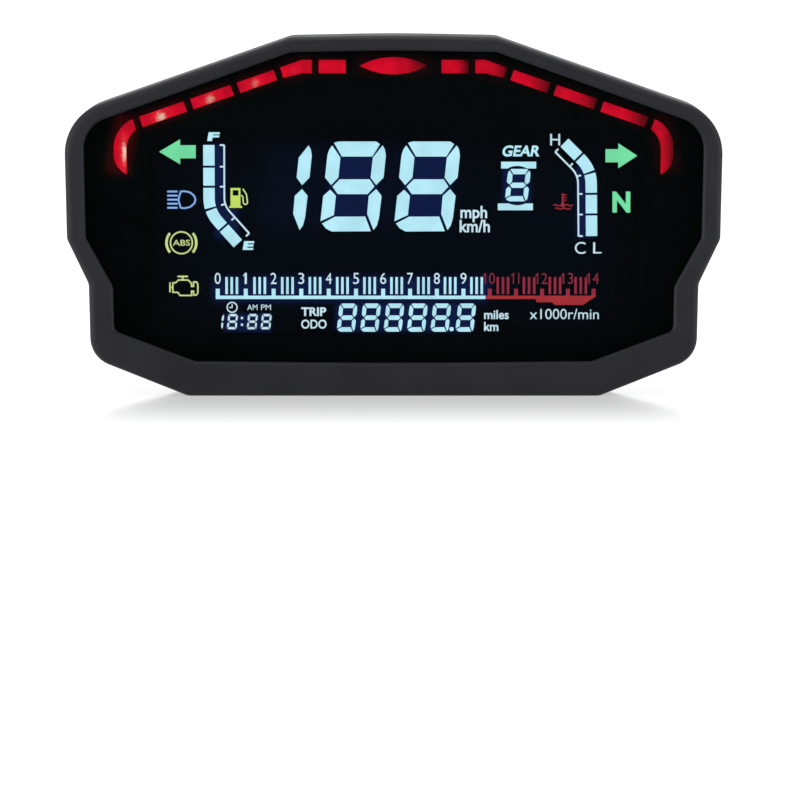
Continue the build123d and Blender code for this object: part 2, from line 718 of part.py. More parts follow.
def switch_body(x, z):
    """A long-travel push switch, hollow around its stem."""
    body = block(x, z, SWITCH_SIZE, SWITCH_SIZE, BOARD_BACK, BOARD_BACK + SWITCH_DEPTH)
    well = stem_back() - SWITCH_STEM_LENGTH - BUTTON_TRAVEL - BUTTON_FIT
    hole = SWITCH_STEM_RADIUS + SWITCH_CAVITY
    body -= disc(x, z, hole, well, BOARD_BACK + SWITCH_DEPTH)
    leg_x = (SWITCH_SIZE + SWITCH_LEG[0]) / 2
    leg_z = SWITCH_SIZE / 3
    for side, level in ((-1, -1), (-1, 1), (1, -1), (1, 1)):
        spot = (x + side * leg_x, z + level * leg_z)
        body += block(*spot, *SWITCH_LEG, BOARD_BACK, BOARD_BACK + SWITCH_LEG_THICKNESS)
    return body


def stem_back():
    """Depth of the switch stem's free end, which the button's plunger touches."""
    return BOARD_BACK + SWITCH_DEPTH + SWITCH_STEM_LENGTH / 2


def switch_stem(x, z):
    return disc(x, z, SWITCH_STEM_RADIUS, stem_back() - SWITCH_STEM_LENGTH, stem_back())


# ---------------------------------------------------------------- rear housing
def rear_housing():
    """The flange behind the bezel and the box that stands out of it."""
    flange = slab(grow(OUTER, -SEAM_STEP), BEZEL_DEPTH, FLANGE_BACK)
    flange_edges = flange.faces().sort_by(Axis.Y)[-1].edges()
    flange = fillet(flange_edges, FLANGE_THICKNESS / 4)
    box = slab(BOX, BEZEL_DEPTH, BACK)
    box = fillet(box.faces().sort_by(Axis.Y)[-1].edges(), BOX_EDGE_RADIUS)
    body = flange + box
    inside = grow(BOX, -BOX_WALL)
    body -= slab(inside, BEZEL_DEPTH, BACK_INSIDE)
    body += press_rib(inside)
    head_seat = FLANGE_BACK - HOUSING_SCREW_HEAD_DEPTH
    for x, z in HOUSING_SCREWS_LONG + HOUSING_SCREWS_SHORT:
        body -= disc(x, z, HOUSING_SCREW + HOLE_FIT, BEZEL_DEPTH, FLANGE_BACK)
        body -= disc(x, z, HOUSING_SCREW_HEAD + HOLE_FIT, head_seat, FLANGE_BACK)
    bore = BUTTON_RADIUS + BUTTON_FIT
    collar_back = BACK + BUTTON_COLLAR_HEIGHT
    for x, z in BUTTONS.values():
        body += disc(x, z, bore + BUTTON_COLLAR, BACK_INSIDE, collar_back)
        body -= disc(x, z, bore, BACK_INSIDE, collar_back)
    for x, z in STUDS:
        body -= disc(x, z, STUD_SHOULDER_RADIUS + SCREW_FIT, BACK_INSIDE, BACK)
    body -= disc(0, MOUNT_Z, GLAND_NECK, BACK_INSIDE, BACK)
    return body - disc(0, VENT_Z, VENT_NECK + SCREW_FIT, BACK_INSIDE, BACK)


def press_rib(inside):
    """The rib that holds the board down, which goes around the heads of the board's screws."""
    rib = (inside & grow(OUTER, -BEZEL_WALL - BOARD_FIT)) - grow(BOX, -BOX_WALL - PRESS_RIB)
    for x, z in BOARD_SCREWS:
        rib -= Pos(x, z) * Circle(BOARD_SCREW_HEAD + BOARD_FIT)
    return slab(rib, BOARD_BACK, FLANGE_BACK)


def housing_seal():
    return slab(seal_profile(), BEZEL_DEPTH - SEAL_DEPTH, BEZEL_DEPTH)


def mounting_stud(x, z):
    """A threaded stud with its hexagonal head inside the back and a plain shoulder through it."""
    hexagon = Pos(x, z) * RegularPolygon(STUD_HEAD_RADIUS, 6)
    head = slab(hexagon, BACK_INSIDE - STUD_HEAD_THICKNESS, BACK_INSIDE)
    seat = BACK + DAMPER_THICKNESS
    shank = disc(x, z, STUD_RADIUS, seat, BACK + STUD_REACH)
    shank = chamfer(shank.edges().sort_by(Axis.Y)[-1], STUD_CHAMFER)
    return head + disc(x, z, STUD_SHOULDER_RADIUS, BACK_INSIDE, seat) + shank


def damper(x, z):
    """A rubber washer that keeps the vibration of the bracket off the housing."""
    ring = disc(x, z, DAMPER_RADIUS, BACK, BACK + DAMPER_THICKNESS)
    ring = fillet(ring.edges().sort_by(Axis.Y)[-1], DAMPER_ROUNDING)
    return ring - disc(x, z, STUD_SHOULDER_RADIUS + SCREW_FIT, BACK, BACK + DAMPER_THICKNESS)


def harness_gland():
    """The rubber grommet in the middle of the back, with lips on both sides of the wall."""
    inner_lip = GLAND_FLANGE - GLAND_INNER_STEP
    body = disc(0, MOUNT_Z, inner_lip, BACK_INSIDE - GLAND_LIP, BACK_INSIDE)
    body += disc(0, MOUNT_Z, GLAND_NECK, BACK_INSIDE, BACK)
    outer = disc(0, MOUNT_Z, GLAND_FLANGE, BACK, BACK + GLAND_LIP)
    body += fillet(outer.edges().sort_by(Axis.Y)[-1], GLAND_ROUNDING)
    return body - disc(0, MOUNT_Z, GLAND_BORE, BACK_INSIDE - GLAND_LIP, BACK + GLAND_LIP)


def breather_vent():
    """A small plug that lets air but no water through."""
    cap = disc(0, VENT_Z, VENT_CAP, BACK, BACK + VENT_CAP_HEIGHT)
    cap = chamfer(cap.edges().sort_by(Axis.Y)[-1], VENT_CHAMFER)
    return cap + disc(0, VENT_Z, VENT_NECK, BACK_INSIDE - VENT_TAIL, BACK)


def set_button(x, z):
    """A rubber cap with a shoulder inside the wall and a plunger down to its switch."""
    seat = BACK_INSIDE - BUTTON_FIT
    cap = disc(x, z, BUTTON_RADIUS, seat, BACK + BUTTON_REACH)
    cap = fillet(cap.edges().sort_by(Axis.Y)[-1], BUTTON_ROUNDING)
    shoulder = disc(x, z, BUTTON_RADIUS + BUTTON_SHOULDER, seat - BUTTON_SHOULDER_DEPTH, seat)
    return cap + shoulder + disc(x, z, BUTTON_PLUNGER, stem_back(), seat)


# ---------------------------------------------------------------- screws
def cross_recess(x, z, size, front, back):
    """The cross that a screwdriver fits."""
    bar = Rectangle(size, size / 4) + Rectangle(size / 4, size)
    return slab(Pos(x, z) * bar, front, back)


def housing_screw(x, z):
    seat = FLANGE_BACK - HOUSING_SCREW_HEAD_DEPTH
    screw = disc(x, z, HOUSING_SCREW_HEAD, seat, FLANGE_BACK)
    screw = fillet(screw.edges().sort_by(Axis.Y)[-1], SCREW_ROUNDING)
    screw += disc(x, z, HOUSING_SCREW, seat - HOUSING_SCREW_LENGTH, seat)
    return screw - cross_recess(x, z, HOUSING_SCREW_HEAD, FLANGE_BACK - RECESS_DEPTH, FLANGE_BACK)


def board_screw(x, z):
    back = BOARD_BACK + BOARD_SCREW_HEAD_DEPTH
    screw = disc(x, z, BOARD_SCREW_HEAD, BOARD_BACK, back)
    screw = fillet(screw.edges().sort_by(Axis.Y)[-1], SCREW_ROUNDING)
    screw += disc(x, z, BOARD_SCREW, BOARD_BACK - BOARD_SCREW_LENGTH, BOARD_BACK)
    return screw - cross_recess(x, z, BOARD_SCREW_HEAD, back - RECESS_DEPTH, back)


# ---------------------------------------------------------------- build
def main():
    os.makedirs("parts", exist_ok=True)
    export("front_bezel", front_bezel())
    export("window_gasket", window_gasket())
    export("window_lens", window_lens())
    export("light_mask", light_mask())
    for name, window in SHIFT_WINDOWS.items():
        export(name, shift_light(window))
    export("light_baffle", light_baffle())
    export("shift_lamps", *[shift_lamp(name, window) for name, window in SHIFT_WINDOWS.items()])

    export("front_polariser", slab(REAR_DISPLAY, MASK_BACK, FRONT_GLASS))
    export("front_glass", slab(DISPLAY, FRONT_GLASS, CELL))
    export("cell_seal", cell_seal())
    export("rear_glass", slab(REAR_DISPLAY, REAR_GLASS, REAR_POLARISER))
    export("rear_polariser", slab(REAR_DISPLAY, REAR_POLARISER, DIFFUSER_FILM))
    export("diffuser_film", slab(REAR_DISPLAY, DIFFUSER_FILM, GUIDE_FRONT))
    export("light_guide", slab(guide_outline(), GUIDE_FRONT, REFLECTOR_FRONT))
    export("reflector_film", slab(REAR_DISPLAY, REFLECTOR_FRONT, HOLDER_FLOOR_FRONT))
    export("backlight_strip", backlight_strip())
    export("contact_strip", contact_strip())
    export("display_holder", display_holder())

    export("circuit_board", circuit_board())
    export("processor_chip", chip(PROCESSOR, PROCESSOR_SIZE, PROCESSOR_LEGS))
    export("display_driver_chip", chip(DISPLAY_DRIVER, DISPLAY_DRIVER_SIZE, DISPLAY_DRIVER_LEGS))
    export("voltage_regulator", regulator())
    export("power_coil", coil())
    export("capacitors", *[capacitor(*place) for place in both_sides(*CAPACITOR)])
    export("clock_crystal", crystal())
    export("harness_header", harness_header())
    export("switch_bodies", *[switch_body(*place) for place in BUTTONS.values()])
    for name, place in BUTTONS.items():
        export("switch_stem_" + name, switch_stem(*place))
        export("set_button_" + name, set_button(*place))

    export("rear_housing", rear_housing())
    export("housing_seal", housing_seal())
    export("mounting_studs", *[mounting_stud(*place) for place in STUDS])
    export("dampers", *[damper(*place) for place in STUDS])
    export("harness_gland", harness_gland())
    export("breather_vent", breather_vent())
    housing_places = [*HOUSING_SCREWS_LONG, *HOUSING_SCREWS_SHORT]
    export("housing_screws", *[housing_screw(*place) for place in housing_places])
    export("board_screws", *[board_screw(*place) for place in BOARD_SCREWS])


main()
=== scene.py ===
"""Looks of the motorcycle instrument cluster: its materials, its lit display and the studio.

Layout values are in millimetres in the cluster's own frame: X to the right, Z up from the lower edge.
"""
import json
from math import atan2, cos, hypot, pi, radians, sin, tan

import bpy
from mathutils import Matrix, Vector


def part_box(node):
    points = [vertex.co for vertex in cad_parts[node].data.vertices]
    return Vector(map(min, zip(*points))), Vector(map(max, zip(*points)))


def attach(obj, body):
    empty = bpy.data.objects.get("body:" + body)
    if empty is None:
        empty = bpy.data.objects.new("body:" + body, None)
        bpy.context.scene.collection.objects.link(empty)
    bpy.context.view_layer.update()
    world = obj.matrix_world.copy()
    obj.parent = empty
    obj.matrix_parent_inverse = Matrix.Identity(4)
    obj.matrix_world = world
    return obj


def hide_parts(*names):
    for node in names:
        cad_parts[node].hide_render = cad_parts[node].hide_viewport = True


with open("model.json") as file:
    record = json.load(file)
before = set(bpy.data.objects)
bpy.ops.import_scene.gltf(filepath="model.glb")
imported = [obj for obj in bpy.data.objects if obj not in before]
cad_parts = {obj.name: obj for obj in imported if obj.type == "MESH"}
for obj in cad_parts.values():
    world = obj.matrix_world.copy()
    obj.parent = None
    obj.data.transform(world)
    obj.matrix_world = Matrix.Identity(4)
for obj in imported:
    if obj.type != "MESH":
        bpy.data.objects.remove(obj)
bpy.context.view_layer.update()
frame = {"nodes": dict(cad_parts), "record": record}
NODES = frame["nodes"]
MM = 0.001

# ---------------------------------------------------------------- planes of the display
INK_GAP, INK_THICKNESS = 0.02 * MM, 0.08 * MM  # lit shapes stand a hair in front of the display
INK_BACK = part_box("front_polariser")[0].y - INK_GAP
FRONT_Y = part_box("front_bezel")[0].y
LENS_RELIEF = 0.06 * MM
LAYOUT_DROP = 0.5  # the layout's heights are as seen from the camera, which looks slightly down

SPEED_LOW, SPEED_HEIGHT = 41.5, 22.7
DIGIT_LEAN = 0.106

# ---------------------------------------------------------------- colours, linear
ICE = (0.50, 0.88, 1.0)
PALE = (0.66, 0.90, 1.0)
GREEN = (0.20, 0.84, 0.42)
YELLOW = (0.62, 0.84, 0.15)
PALE_YELLOW = (0.72, 0.86, 0.34)
BLUE = (0.27, 0.50, 1.0)
RED_SCALE = (0.42, 0.035, 0.075)
RED_NUMBER = (0.30, 0.035, 0.065)
RED_BAR = (0.50, 0.04, 0.05)
RED_ICON = (0.42, 0.03, 0.06)
DISPLAY_BLACK = (0.0010, 0.0032, 0.0062)
DISPLAY_EDGE = (0.0006, 0.0015, 0.0020)
BACKLIGHT_GLOW = (0.0065, 0.016, 0.085)
SHIFT_RED = (0.76, 0.0010, 0.022)
SHIFT_HALO = (1.0, 0.022, 0.040)
SHIFT_SPOT = (1.0, 0.80, 0.62)
SPILL_RED = (1.0, 0.02, 0.03)


# ---------------------------------------------------------------- materials
def new_material(name):
    """An empty material with one Principled shader."""
    material = bpy.data.materials.new(name)
    material.use_nodes = True
    tree = material.node_tree
    return material, tree, tree.nodes["Principled BSDF"]


def add_noise(tree, scale, detail=3.0, roughness=0.5):
    """Noise in the cluster's own coordinates, per metre."""
    place = tree.nodes.new("ShaderNodeTexCoord")
    noise = tree.nodes.new("ShaderNodeTexNoise")
    noise.inputs["Scale"].default_value = scale
    noise.inputs["Detail"].default_value = detail
    noise.inputs["Roughness"].default_value = roughness
    tree.links.new(place.outputs["Object"], noise.inputs["Vector"])
    return noise.outputs["Fac"]


def add_ramp(tree, factor, stops):
    """A colour ramp over a factor, from (position, colour) stops."""
    ramp = tree.nodes.new("ShaderNodeValToRGB")
    elements = ramp.color_ramp.elements
    while len(elements) < len(stops):
        elements.new(0.5)
    for element, (position, colour) in zip(elements, stops):
        element.position = position
        element.color = (*colour, 1.0)
    tree.links.new(factor, ramp.inputs["Fac"])
    return ramp.outputs["Color"]


def add_bump(tree, shader, height, strength, distance):
    """Relief from a height, over a distance in metres."""
    bump = tree.nodes.new("ShaderNodeBump")
    bump.inputs["Strength"].default_value = strength
    bump.inputs["Distance"].default_value = distance
    tree.links.new(height, bump.inputs["Height"])
    tree.links.new(bump.outputs["Normal"], shader.inputs["Normal"])


def split(tree, vector):
    """The X, Y and Z of a vector."""
    parts = tree.nodes.new("ShaderNodeSeparateXYZ")
    tree.links.new(vector, parts.inputs["Vector"])
    return parts.outputs


def feed(tree, value, socket):
    """Link an output to a socket, or set the socket's constant."""
    if isinstance(value, bpy.types.NodeSocket):
        tree.links.new(value, socket)
    else:
        socket.default_value = value


def calc(tree, operation, first, second):
    """The result of one arithmetic node, from outputs or constants."""
    node = tree.nodes.new("ShaderNodeMath")
    node.operation = operation
    feed(tree, first, node.inputs[0])
    feed(tree, second, node.inputs[1])
    return node.outputs["Value"]


def vector_math(tree, operation, first, second):
    """The same for two vectors."""
    node = tree.nodes.new("ShaderNodeVectorMath")
    node.operation = operation
    feed(tree, first, node.inputs[0])
    feed(tree, second, node.inputs[1])
    return node.outputs["Vector"]


def mix_colour(tree, factor, first, second):
    """A blend of two colours, each an output or a constant."""
    node = tree.nodes.new("ShaderNodeMix")
    node.data_type = "RGBA"
    tree.links.new(factor, node.inputs["Factor"])
    for socket, colour in ((node.inputs["A"], first), (node.inputs["B"], second)):
        feed(tree, (*colour, 1.0) if isinstance(colour, tuple) else colour, socket)
    return node.outputs["Result"]


def step(tree, value, start, end):
    """A smooth rise from 0 at the start to 1 at the end, whichever of them is the larger."""
    node = tree.nodes.new("ShaderNodeMapRange")
    node.interpolation_type = "SMOOTHSTEP"
    node.inputs["From Min"].default_value = min(start, end)
    node.inputs["From Max"].default_value = max(start, end)
    node.inputs["To Min"].default_value = 0.0 if start < end else 1.0
    node.inputs["To Max"].default_value = 1.0 if start < end else 0.0
    tree.links.new(value, node.inputs["Value"])
    return node.outputs["Result"]


def grey(value):
    """A grey as a colour."""
    return (value, value, value)


BROAD_SCALE = 60.0  # per metre: the slow change of tone and gloss over a moulded surface
TONE_CHANGE, GLOSS_CHANGE = 0.18, 0.12  # how much of the tone and of the roughness it changes


def moulded(name, colour, roughness, grain_mm, relief_mm, metallic=0.0, specular=0.5):
    """Moulded plastic, rubber or plain metal: a fine grain, and gloss that varies a little."""
    material, tree, shader = new_material(name)
    broad = add_noise(tree, BROAD_SCALE, 4.0)
    dark = tuple(c * (1 - TONE_CHANGE) for c in colour)
    light = tuple(c * (1 + TONE_CHANGE) for c in colour)
    tone = add_ramp(tree, broad, [(0.3, dark), (0.7, light)])
    tree.links.new(tone, shader.inputs["Base Color"])
    smooth, rough = grey(roughness * (1 - GLOSS_CHANGE)), grey(roughness * (1 + GLOSS_CHANGE))
    gloss = add_ramp(tree, broad, [(0.3, smooth), (0.7, rough)])
    tree.links.new(gloss, shader.inputs["Roughness"])
    shader.inputs["Metallic"].default_value = metallic
    shader.inputs["Specular IOR Level"].default_value = specular
    grain = add_noise(tree, 1.0 / (grain_mm * MM), 2.0, 0.6)
    add_bump(tree, shader, grain, 0.5, relief_mm * MM)
    return material


UNEVEN_SCALE = 160.0  # per metre: the cloudiness of the backlight
LIT_DIM, LIT_BODY = 0.86, 0.2  # shares of a segment's colour: where it is dimmest, and as plain paint


def lit(name, colour, strength):
    """A lit segment, a little brighter in some places than in others."""
    material, tree, shader = new_material(name)
    uneven = add_noise(tree, UNEVEN_SCALE, 2.0)
    dim = tuple(c * LIT_DIM for c in colour)
    tone = add_ramp(tree, uneven, [(0.35, dim), (0.65, colour)])
    tree.links.new(tone, shader.inputs["Emission Color"])
    shader.inputs["Emission Strength"].default_value = strength
    shader.inputs["Base Color"].default_value = (*(c * LIT_BODY for c in colour), 1.0)
    shader.inputs["Roughness"].default_value = 0.4
    shader.inputs["Specular IOR Level"].default_value = 0.1
    return material


SPOTS_FROM, SPOTS_FULL = -22.0 * MM, -66.0 * MM  # X where the bright spots begin, and where they are full
FADE_FROM, FADE_FULL = -6.0 * MM, 9.0 * MM  # the same for the dark right ends
SPOT_MIDDLE, SPOT_WEIGHTS = (0.47, 0.5, 0.42), (1.0, 0.0, 0.55)  # in shares of a light's box
SPOT_RADIUS, SPOT_HALO_RADIUS, SPOT_HALO_CORE = 0.12, 0.27, 0.04
SPARKLE_SCALE, SPARKLE = 1300.0, 0.22
MOTTLE_SCALE, MOTTLE = 380.0, 0.45
END_FADE, TOP_FADE = (0.40, 0.98), (0.50, 1.15)  # where a dark end and the upper edge fade, in shares
END_LOSS, TOP_LOSS = 0.92, 0.35  # how much light is lost there
LIGHT_BASE, LIGHT_GAIN, LIGHT_LEAST = 0.88, 1.08, 0.03


def shift_light_material():
    """Red acrylic lit from behind: a bright spot on the left of the row, darker ends on the right."""
    material, tree, shader = new_material("shift_light_red")
    place = tree.nodes.new("ShaderNodeTexCoord")
    share = split(tree, place.outputs["Generated"])
    along = split(tree, place.outputs["Object"])["X"]

    offset = vector_math(tree, "SUBTRACT", place.outputs["Generated"], SPOT_MIDDLE)
    offset = vector_math(tree, "MULTIPLY", offset, SPOT_WEIGHTS)
    sparkle = calc(tree, "SUBTRACT", add_noise(tree, SPARKLE_SCALE, 4.0, 0.75), 0.5)
    distance = calc(tree, "ADD", length_of(tree, offset), calc(tree, "MULTIPLY", sparkle, SPARKLE))
    left_end = step(tree, along, SPOTS_FROM, SPOTS_FULL)
    spot = calc(tree, "MULTIPLY", step(tree, distance, SPOT_RADIUS, 0.0), left_end)
    halo = calc(tree, "MULTIPLY", step(tree, distance, SPOT_HALO_RADIUS, SPOT_HALO_CORE), left_end)

    right_side = step(tree, along, FADE_FROM, FADE_FULL)
    fade = calc(tree, "MULTIPLY", step(tree, share["X"], *END_FADE), right_side)
    edge = calc(tree, "MULTIPLY", step(tree, share["Z"], *TOP_FADE), TOP_LOSS)
    loss = calc(tree, "ADD", calc(tree, "MULTIPLY", fade, END_LOSS), edge)
    blotches = step(tree, add_noise(tree, MOTTLE_SCALE, 3.0, 0.6), 0.25, 0.75)
    mottle = calc(tree, "ADD", LIGHT_BASE, calc(tree, "MULTIPLY", blotches, MOTTLE))
    strength = calc(tree, "MULTIPLY", calc(tree, "SUBTRACT", 1.0, loss), mottle)

    tone = mix_colour(tree, halo, SHIFT_RED, SHIFT_HALO)
    tone = mix_colour(tree, spot, tone, SHIFT_SPOT)
    tree.links.new(tone, shader.inputs["Emission Color"])
    strength = calc(tree, "MULTIPLY", calc(tree, "MAXIMUM", strength, spot), LIGHT_GAIN)
    tree.links.new(calc(tree, "MAXIMUM", strength, LIGHT_LEAST), shader.inputs["Emission Strength"])
    shader.inputs["Base Color"].default_value = (0.08, 0.001, 0.004, 1.0)
    shader.inputs["Roughness"].default_value = 0.3
    shader.inputs["Specular IOR Level"].default_value = 0.1
    return material


HALO_FADE, HALO_MARGIN = 3.4 * MM, 1.3 * MM  # width of the spill's fade, and how much is past the window
SPILL_LEAST, SPILL_LEFT = 0.012, 0.035  # strength of the spill, and what the left end of the row adds
SPILL_LEFT_END = -60.0 * MM


def window_halo(tree, place, node):
    """1 over the middle of one shift light, fading to 0 a little beyond it, slanted as its window is."""
    points = [(v.co.x, v.co.z) for v in node.data.vertices]
    middle_x, middle_z = (sum(p[k] for p in points) / len(points) for k in (0, 1))
    offsets = [(x - middle_x, z - middle_z) for x, z in points]
    slant = 0.5 * atan2(2 * sum(x * z for x, z in offsets), sum(x * x - z * z for x, z in offsets))
    half_long = max(abs(x * cos(slant) + z * sin(slant)) for x, z in offsets)
    half_wide = max(abs(z * cos(slant) - x * sin(slant)) for x, z in offsets)
    turned = tree.nodes.new("ShaderNodeMapping")
    turned.vector_type = "TEXTURE"
    turned.inputs["Location"].default_value = (middle_x, 0.0, middle_z)
    turned.inputs["Rotation"].default_value = (0.0, -slant, 0.0)
    tree.links.new(place, turned.inputs["Vector"])
    inset = HALO_FADE - HALO_MARGIN
    half = (max(0.0, half_long - inset), 1.0, max(0.0, half_wide - inset))
    return outside_of(tree, turned.outputs["Vector"], half, HALO_FADE)


def mask_material():
    """Matt black, with the red of the shift lights spilling onto it around their windows."""
    material = moulded("mask_black", (0.0022, 0.0040, 0.0042), 0.8, 0.20, 0.01, specular=0.02)
    tree = material.node_tree
    shader = tree.nodes["Principled BSDF"]
    place = tree.nodes.new("ShaderNodeTexCoord").outputs["Object"]
    halo = 0.0
    for name in sorted(NODES):
        if name.startswith("shift_light_"):
            halo = calc(tree, "MAXIMUM", halo, window_halo(tree, place, NODES[name]))
    left_end = step(tree, split(tree, place)["X"], 0.0, SPILL_LEFT_END)
    spill = calc(tree, "ADD", SPILL_LEAST, calc(tree, "MULTIPLY", left_end, SPILL_LEFT))
    strength = calc(tree, "MULTIPLY", halo, spill)
    tree.links.new(strength, shader.inputs["Emission Strength"])
    shader.inputs["Emission Color"].default_value = (*SPILL_RED, 1.0)
    return material


def smoked_window_material():
    """Smoked polycarbonate with a hard coat that hardly reflects."""
    material, tree, shader = new_material("smoked_polycarbonate")
    haze = add_noise(tree, 40.0, 5.0)
    smear = add_ramp(tree, haze, [(0.3, grey(0.04)), (0.75, grey(0.09))])
    tree.links.new(smear, shader.inputs["Roughness"])
    shader.inputs["Base Color"].default_value = (0.0004, 0.0006, 0.0005, 1.0)
    shader.inputs["Alpha"].default_value = 0.22
    shader.inputs["Specular IOR Level"].default_value = 0.015
    shader.inputs["IOR"].default_value = 1.45
    return material


def length_of(tree, vector):
    """The length of a vector."""
    node = tree.nodes.new("ShaderNodeVectorMath")
    node.operation = "LENGTH"
    tree.links.new(vector, node.inputs[0])
    return node.outputs["Value"]


def outside_of(tree, offset, half, reach):
    """1 inside a box about the origin, fading to 0 at a reach outside it."""
    away = vector_math(tree, "ABSOLUTE", offset, (0, 0, 0))
    beyond = vector_math(tree, "MAXIMUM", vector_math(tree, "SUBTRACT", away, half), (0, 0, 0))
    return step(tree, length_of(tree, beyond), reach, 0.0)


def glow_around(tree, place, low, high, reach):
    """1 inside a rectangle of the display, fading to 0 at a reach beyond it."""
    middle_z = (low[1] + high[1]) / 2 - LAYOUT_DROP
    middle = ((low[0] + high[0]) / 2 * MM, 0.0, middle_z * MM)
    half = ((high[0] - low[0]) / 2 * MM, 1.0, (high[1] - low[1]) / 2 * MM)
    return outside_of(tree, vector_math(tree, "SUBTRACT", place, middle), half, reach * MM)


def leaning_place(tree, place):
    """The place with the lean of the digits taken out, measured from the foot of the speed digits."""
    parts = split(tree, place)
    rise = calc(tree, "SUBTRACT", parts["Z"], (SPEED_LOW - LAYOUT_DROP) * MM)
    upright = tree.nodes.new("ShaderNodeCombineXYZ")
    lean = calc(tree, "MULTIPLY", rise, DIGIT_LEAN)
    tree.links.new(calc(tree, "SUBTRACT", parts["X"], lean), upright.inputs["X"])
    tree.links.new(parts["Z"], upright.inputs["Z"])
    return upright.outputs["Vector"]


GLOWS = [  # rectangles of the display with lit segments: lower left, upper right, reach
    ((-46.0, 47.0), (-43.4, 62.5), 1.8),
    ((-43.6, 41.0), (-40.5, 46.5), 2.4),
    ((46.9, 41.0), (49.5, 57.0), 1.8),
    ((-44.0, 25.5), (22.5, 28.5), 3.0),
    ((-13.5, 17.5), (19.0, 22.5), 2.2),
    ((28.5, 49.5), (33.5, 56.5), 1.8),
    ((-42.0, 17.0), (-31.5, 20.0), 1.4),
]
SPEED_GLOWS = [  # inside the two eights, in a place that leans with them
    ((-16.3, 44.0), (-6.5, 62.0), 2.2),
    ((2.3, 44.0), (12.1, 62.0), 2.2),
]
SPEED_HALO, SPEED_HALO_SHARE = ((-31.0, 46.0), (11.0, 60.0), 6.5), 0.11  # the faint light around them
FACE_GLOW = ((-48.0, 28.0), (46.0, 54.0), 15.0)  # the face is a little lighter here than at its edges
GLOW_LEAST, GLOW_CLOUD = 0.80, 0.5  # strength of the glow, and what its brightest clouds add


def display_material():
    """The dark face of the display, with the glow of its backlight around the lit segments."""
    material, tree, shader = new_material("display_face")
    place = tree.nodes.new("ShaderNodeTexCoord").outputs["Object"]
    leaning = leaning_place(tree, place)
    glow = calc(tree, "MULTIPLY", glow_around(tree, leaning, *SPEED_HALO), SPEED_HALO_SHARE)
    for rectangle in SPEED_GLOWS:
        glow = calc(tree, "MAXIMUM", glow, glow_around(tree, leaning, *rectangle))
    for low, high, reach in GLOWS:
        glow = calc(tree, "MAXIMUM", glow, glow_around(tree, place, low, high, reach))
    cloud = calc(tree, "MULTIPLY", step(tree, add_noise(tree, BROAD_SCALE, 2.0), 0.2, 0.8), GLOW_CLOUD)
    glow = calc(tree, "MULTIPLY", glow, calc(tree, "ADD", GLOW_LEAST, cloud))
    face = mix_colour(tree, glow_around(tree, place, *FACE_GLOW), DISPLAY_EDGE, DISPLAY_BLACK)
    tone = mix_colour(tree, glow, face, BACKLIGHT_GLOW)
    tree.links.new(tone, shader.inputs["Emission Color"])
    shader.inputs["Emission Strength"].default_value = 1.0
    shader.inputs["Base Color"].default_value = (0.001, 0.001, 0.002, 1.0)
    shader.inputs["Roughness"].default_value = 0.3
    shader.inputs["Specular IOR Level"].default_value = 0.02
    return material


MATERIALS = {
    "bezel_plastic": moulded("bezel_satin", (0.0125, 0.0125, 0.0165), 0.50, 0.30, 0.015, specular=0.16),
    "housing_plastic": moulded("housing_grain", (0.014, 0.014, 0.016), 0.62, 0.55, 0.05),
    "smoked_window": smoked_window_material(),
    "black_rubber": moulded("rubber_black", (0.013, 0.013, 0.013), 0.78, 0.20, 0.02, specular=0.3),
    "button_rubber": moulded("rubber_button", (0.035, 0.035, 0.038), 0.66, 0.18, 0.015, specular=0.3),
    "mask_plastic": mask_material(),
    "red_diffuser": shift_light_material(),
    "polariser_film": display_material(),
    "zinc_steel": moulded("zinc_plated", (0.48, 0.49, 0.52), 0.30, 0.40, 0.01, metallic=1.0),
    "black_steel": moulded("black_oxide", (0.05, 0.05, 0.055), 0.38, 0.30, 0.01, metallic=1.0),
    "vent_plastic": moulded("vent_black", (0.02, 0.02, 0.022), 0.5, 0.25, 0.02),
    "board_laminate": moulded("board_green", (0.008, 0.09, 0.03), 0.3, 1.2, 0.02),
    "chip_resin": moulded("chip_black", (0.015, 0.015, 0.016), 0.6, 0.15, 0.01),
    "header_nylon": moulded("nylon_natural", (0.62, 0.58, 0.46), 0.45, 0.4, 0.01),
    "white_plastic": moulded("holder_white", (0.62, 0.62, 0.58), 0.5, 0.4, 0.01),
    "white_film": moulded("film_white", (0.70, 0.71, 0.74), 0.6, 0.3, 0.005),
    "white_lamp": moulded("lamp_white", (0.75, 0.72, 0.45), 0.35, 0.3, 0.005),
    "contact_rubber": moulded("contact_grey", (0.22, 0.22, 0.24), 0.7, 0.2, 0.01, specular=0.3),
    "capacitor_can": moulded("can_aluminium", (0.7, 0.7, 0.72), 0.25, 0.3, 0.005, metallic=1.0),
    "tin_plate": moulded("tin_can", (0.6, 0.6, 0.6), 0.25, 0.3, 0.005, metallic=1.0),
    "switch_stem": moulded("stem_ivory", (0.45, 0.42, 0.33), 0.5, 0.3, 0.005),
    "clear_resin": moulded("resin_clear", (0.5, 0.5, 0.46), 0.3, 0.3, 0.005),
    "display_glass": moulded("glass_dark", (0.03, 0.035, 0.04), 0.06, 2.0, 0.001),
    "clear_acrylic": moulded("acrylic_clear", (0.6, 0.64, 0.66), 0.08, 2.0, 0.001),
}

LIT = {
    "ice": lit("lit_ice", ICE, 1.45),
    "pale": lit("lit_pale", PALE, 1.35),
    "green": lit("lit_green", GREEN, 1.35),
    "yellow": lit("lit_yellow", YELLOW, 1.35),
    "pale_yellow": lit("lit_pale_yellow", PALE_YELLOW, 1.3),
    "blue": lit("lit_blue", BLUE, 1.35),
    "red_scale": lit("lit_red_scale", RED_SCALE, 1.0),
    "red_number": lit("lit_red_number", RED_NUMBER, 1.0),
    "red_bar": lit("lit_red_bar", RED_BAR, 1.1),
    "red_icon": lit("lit_red_icon", RED_ICON, 1.1),
}


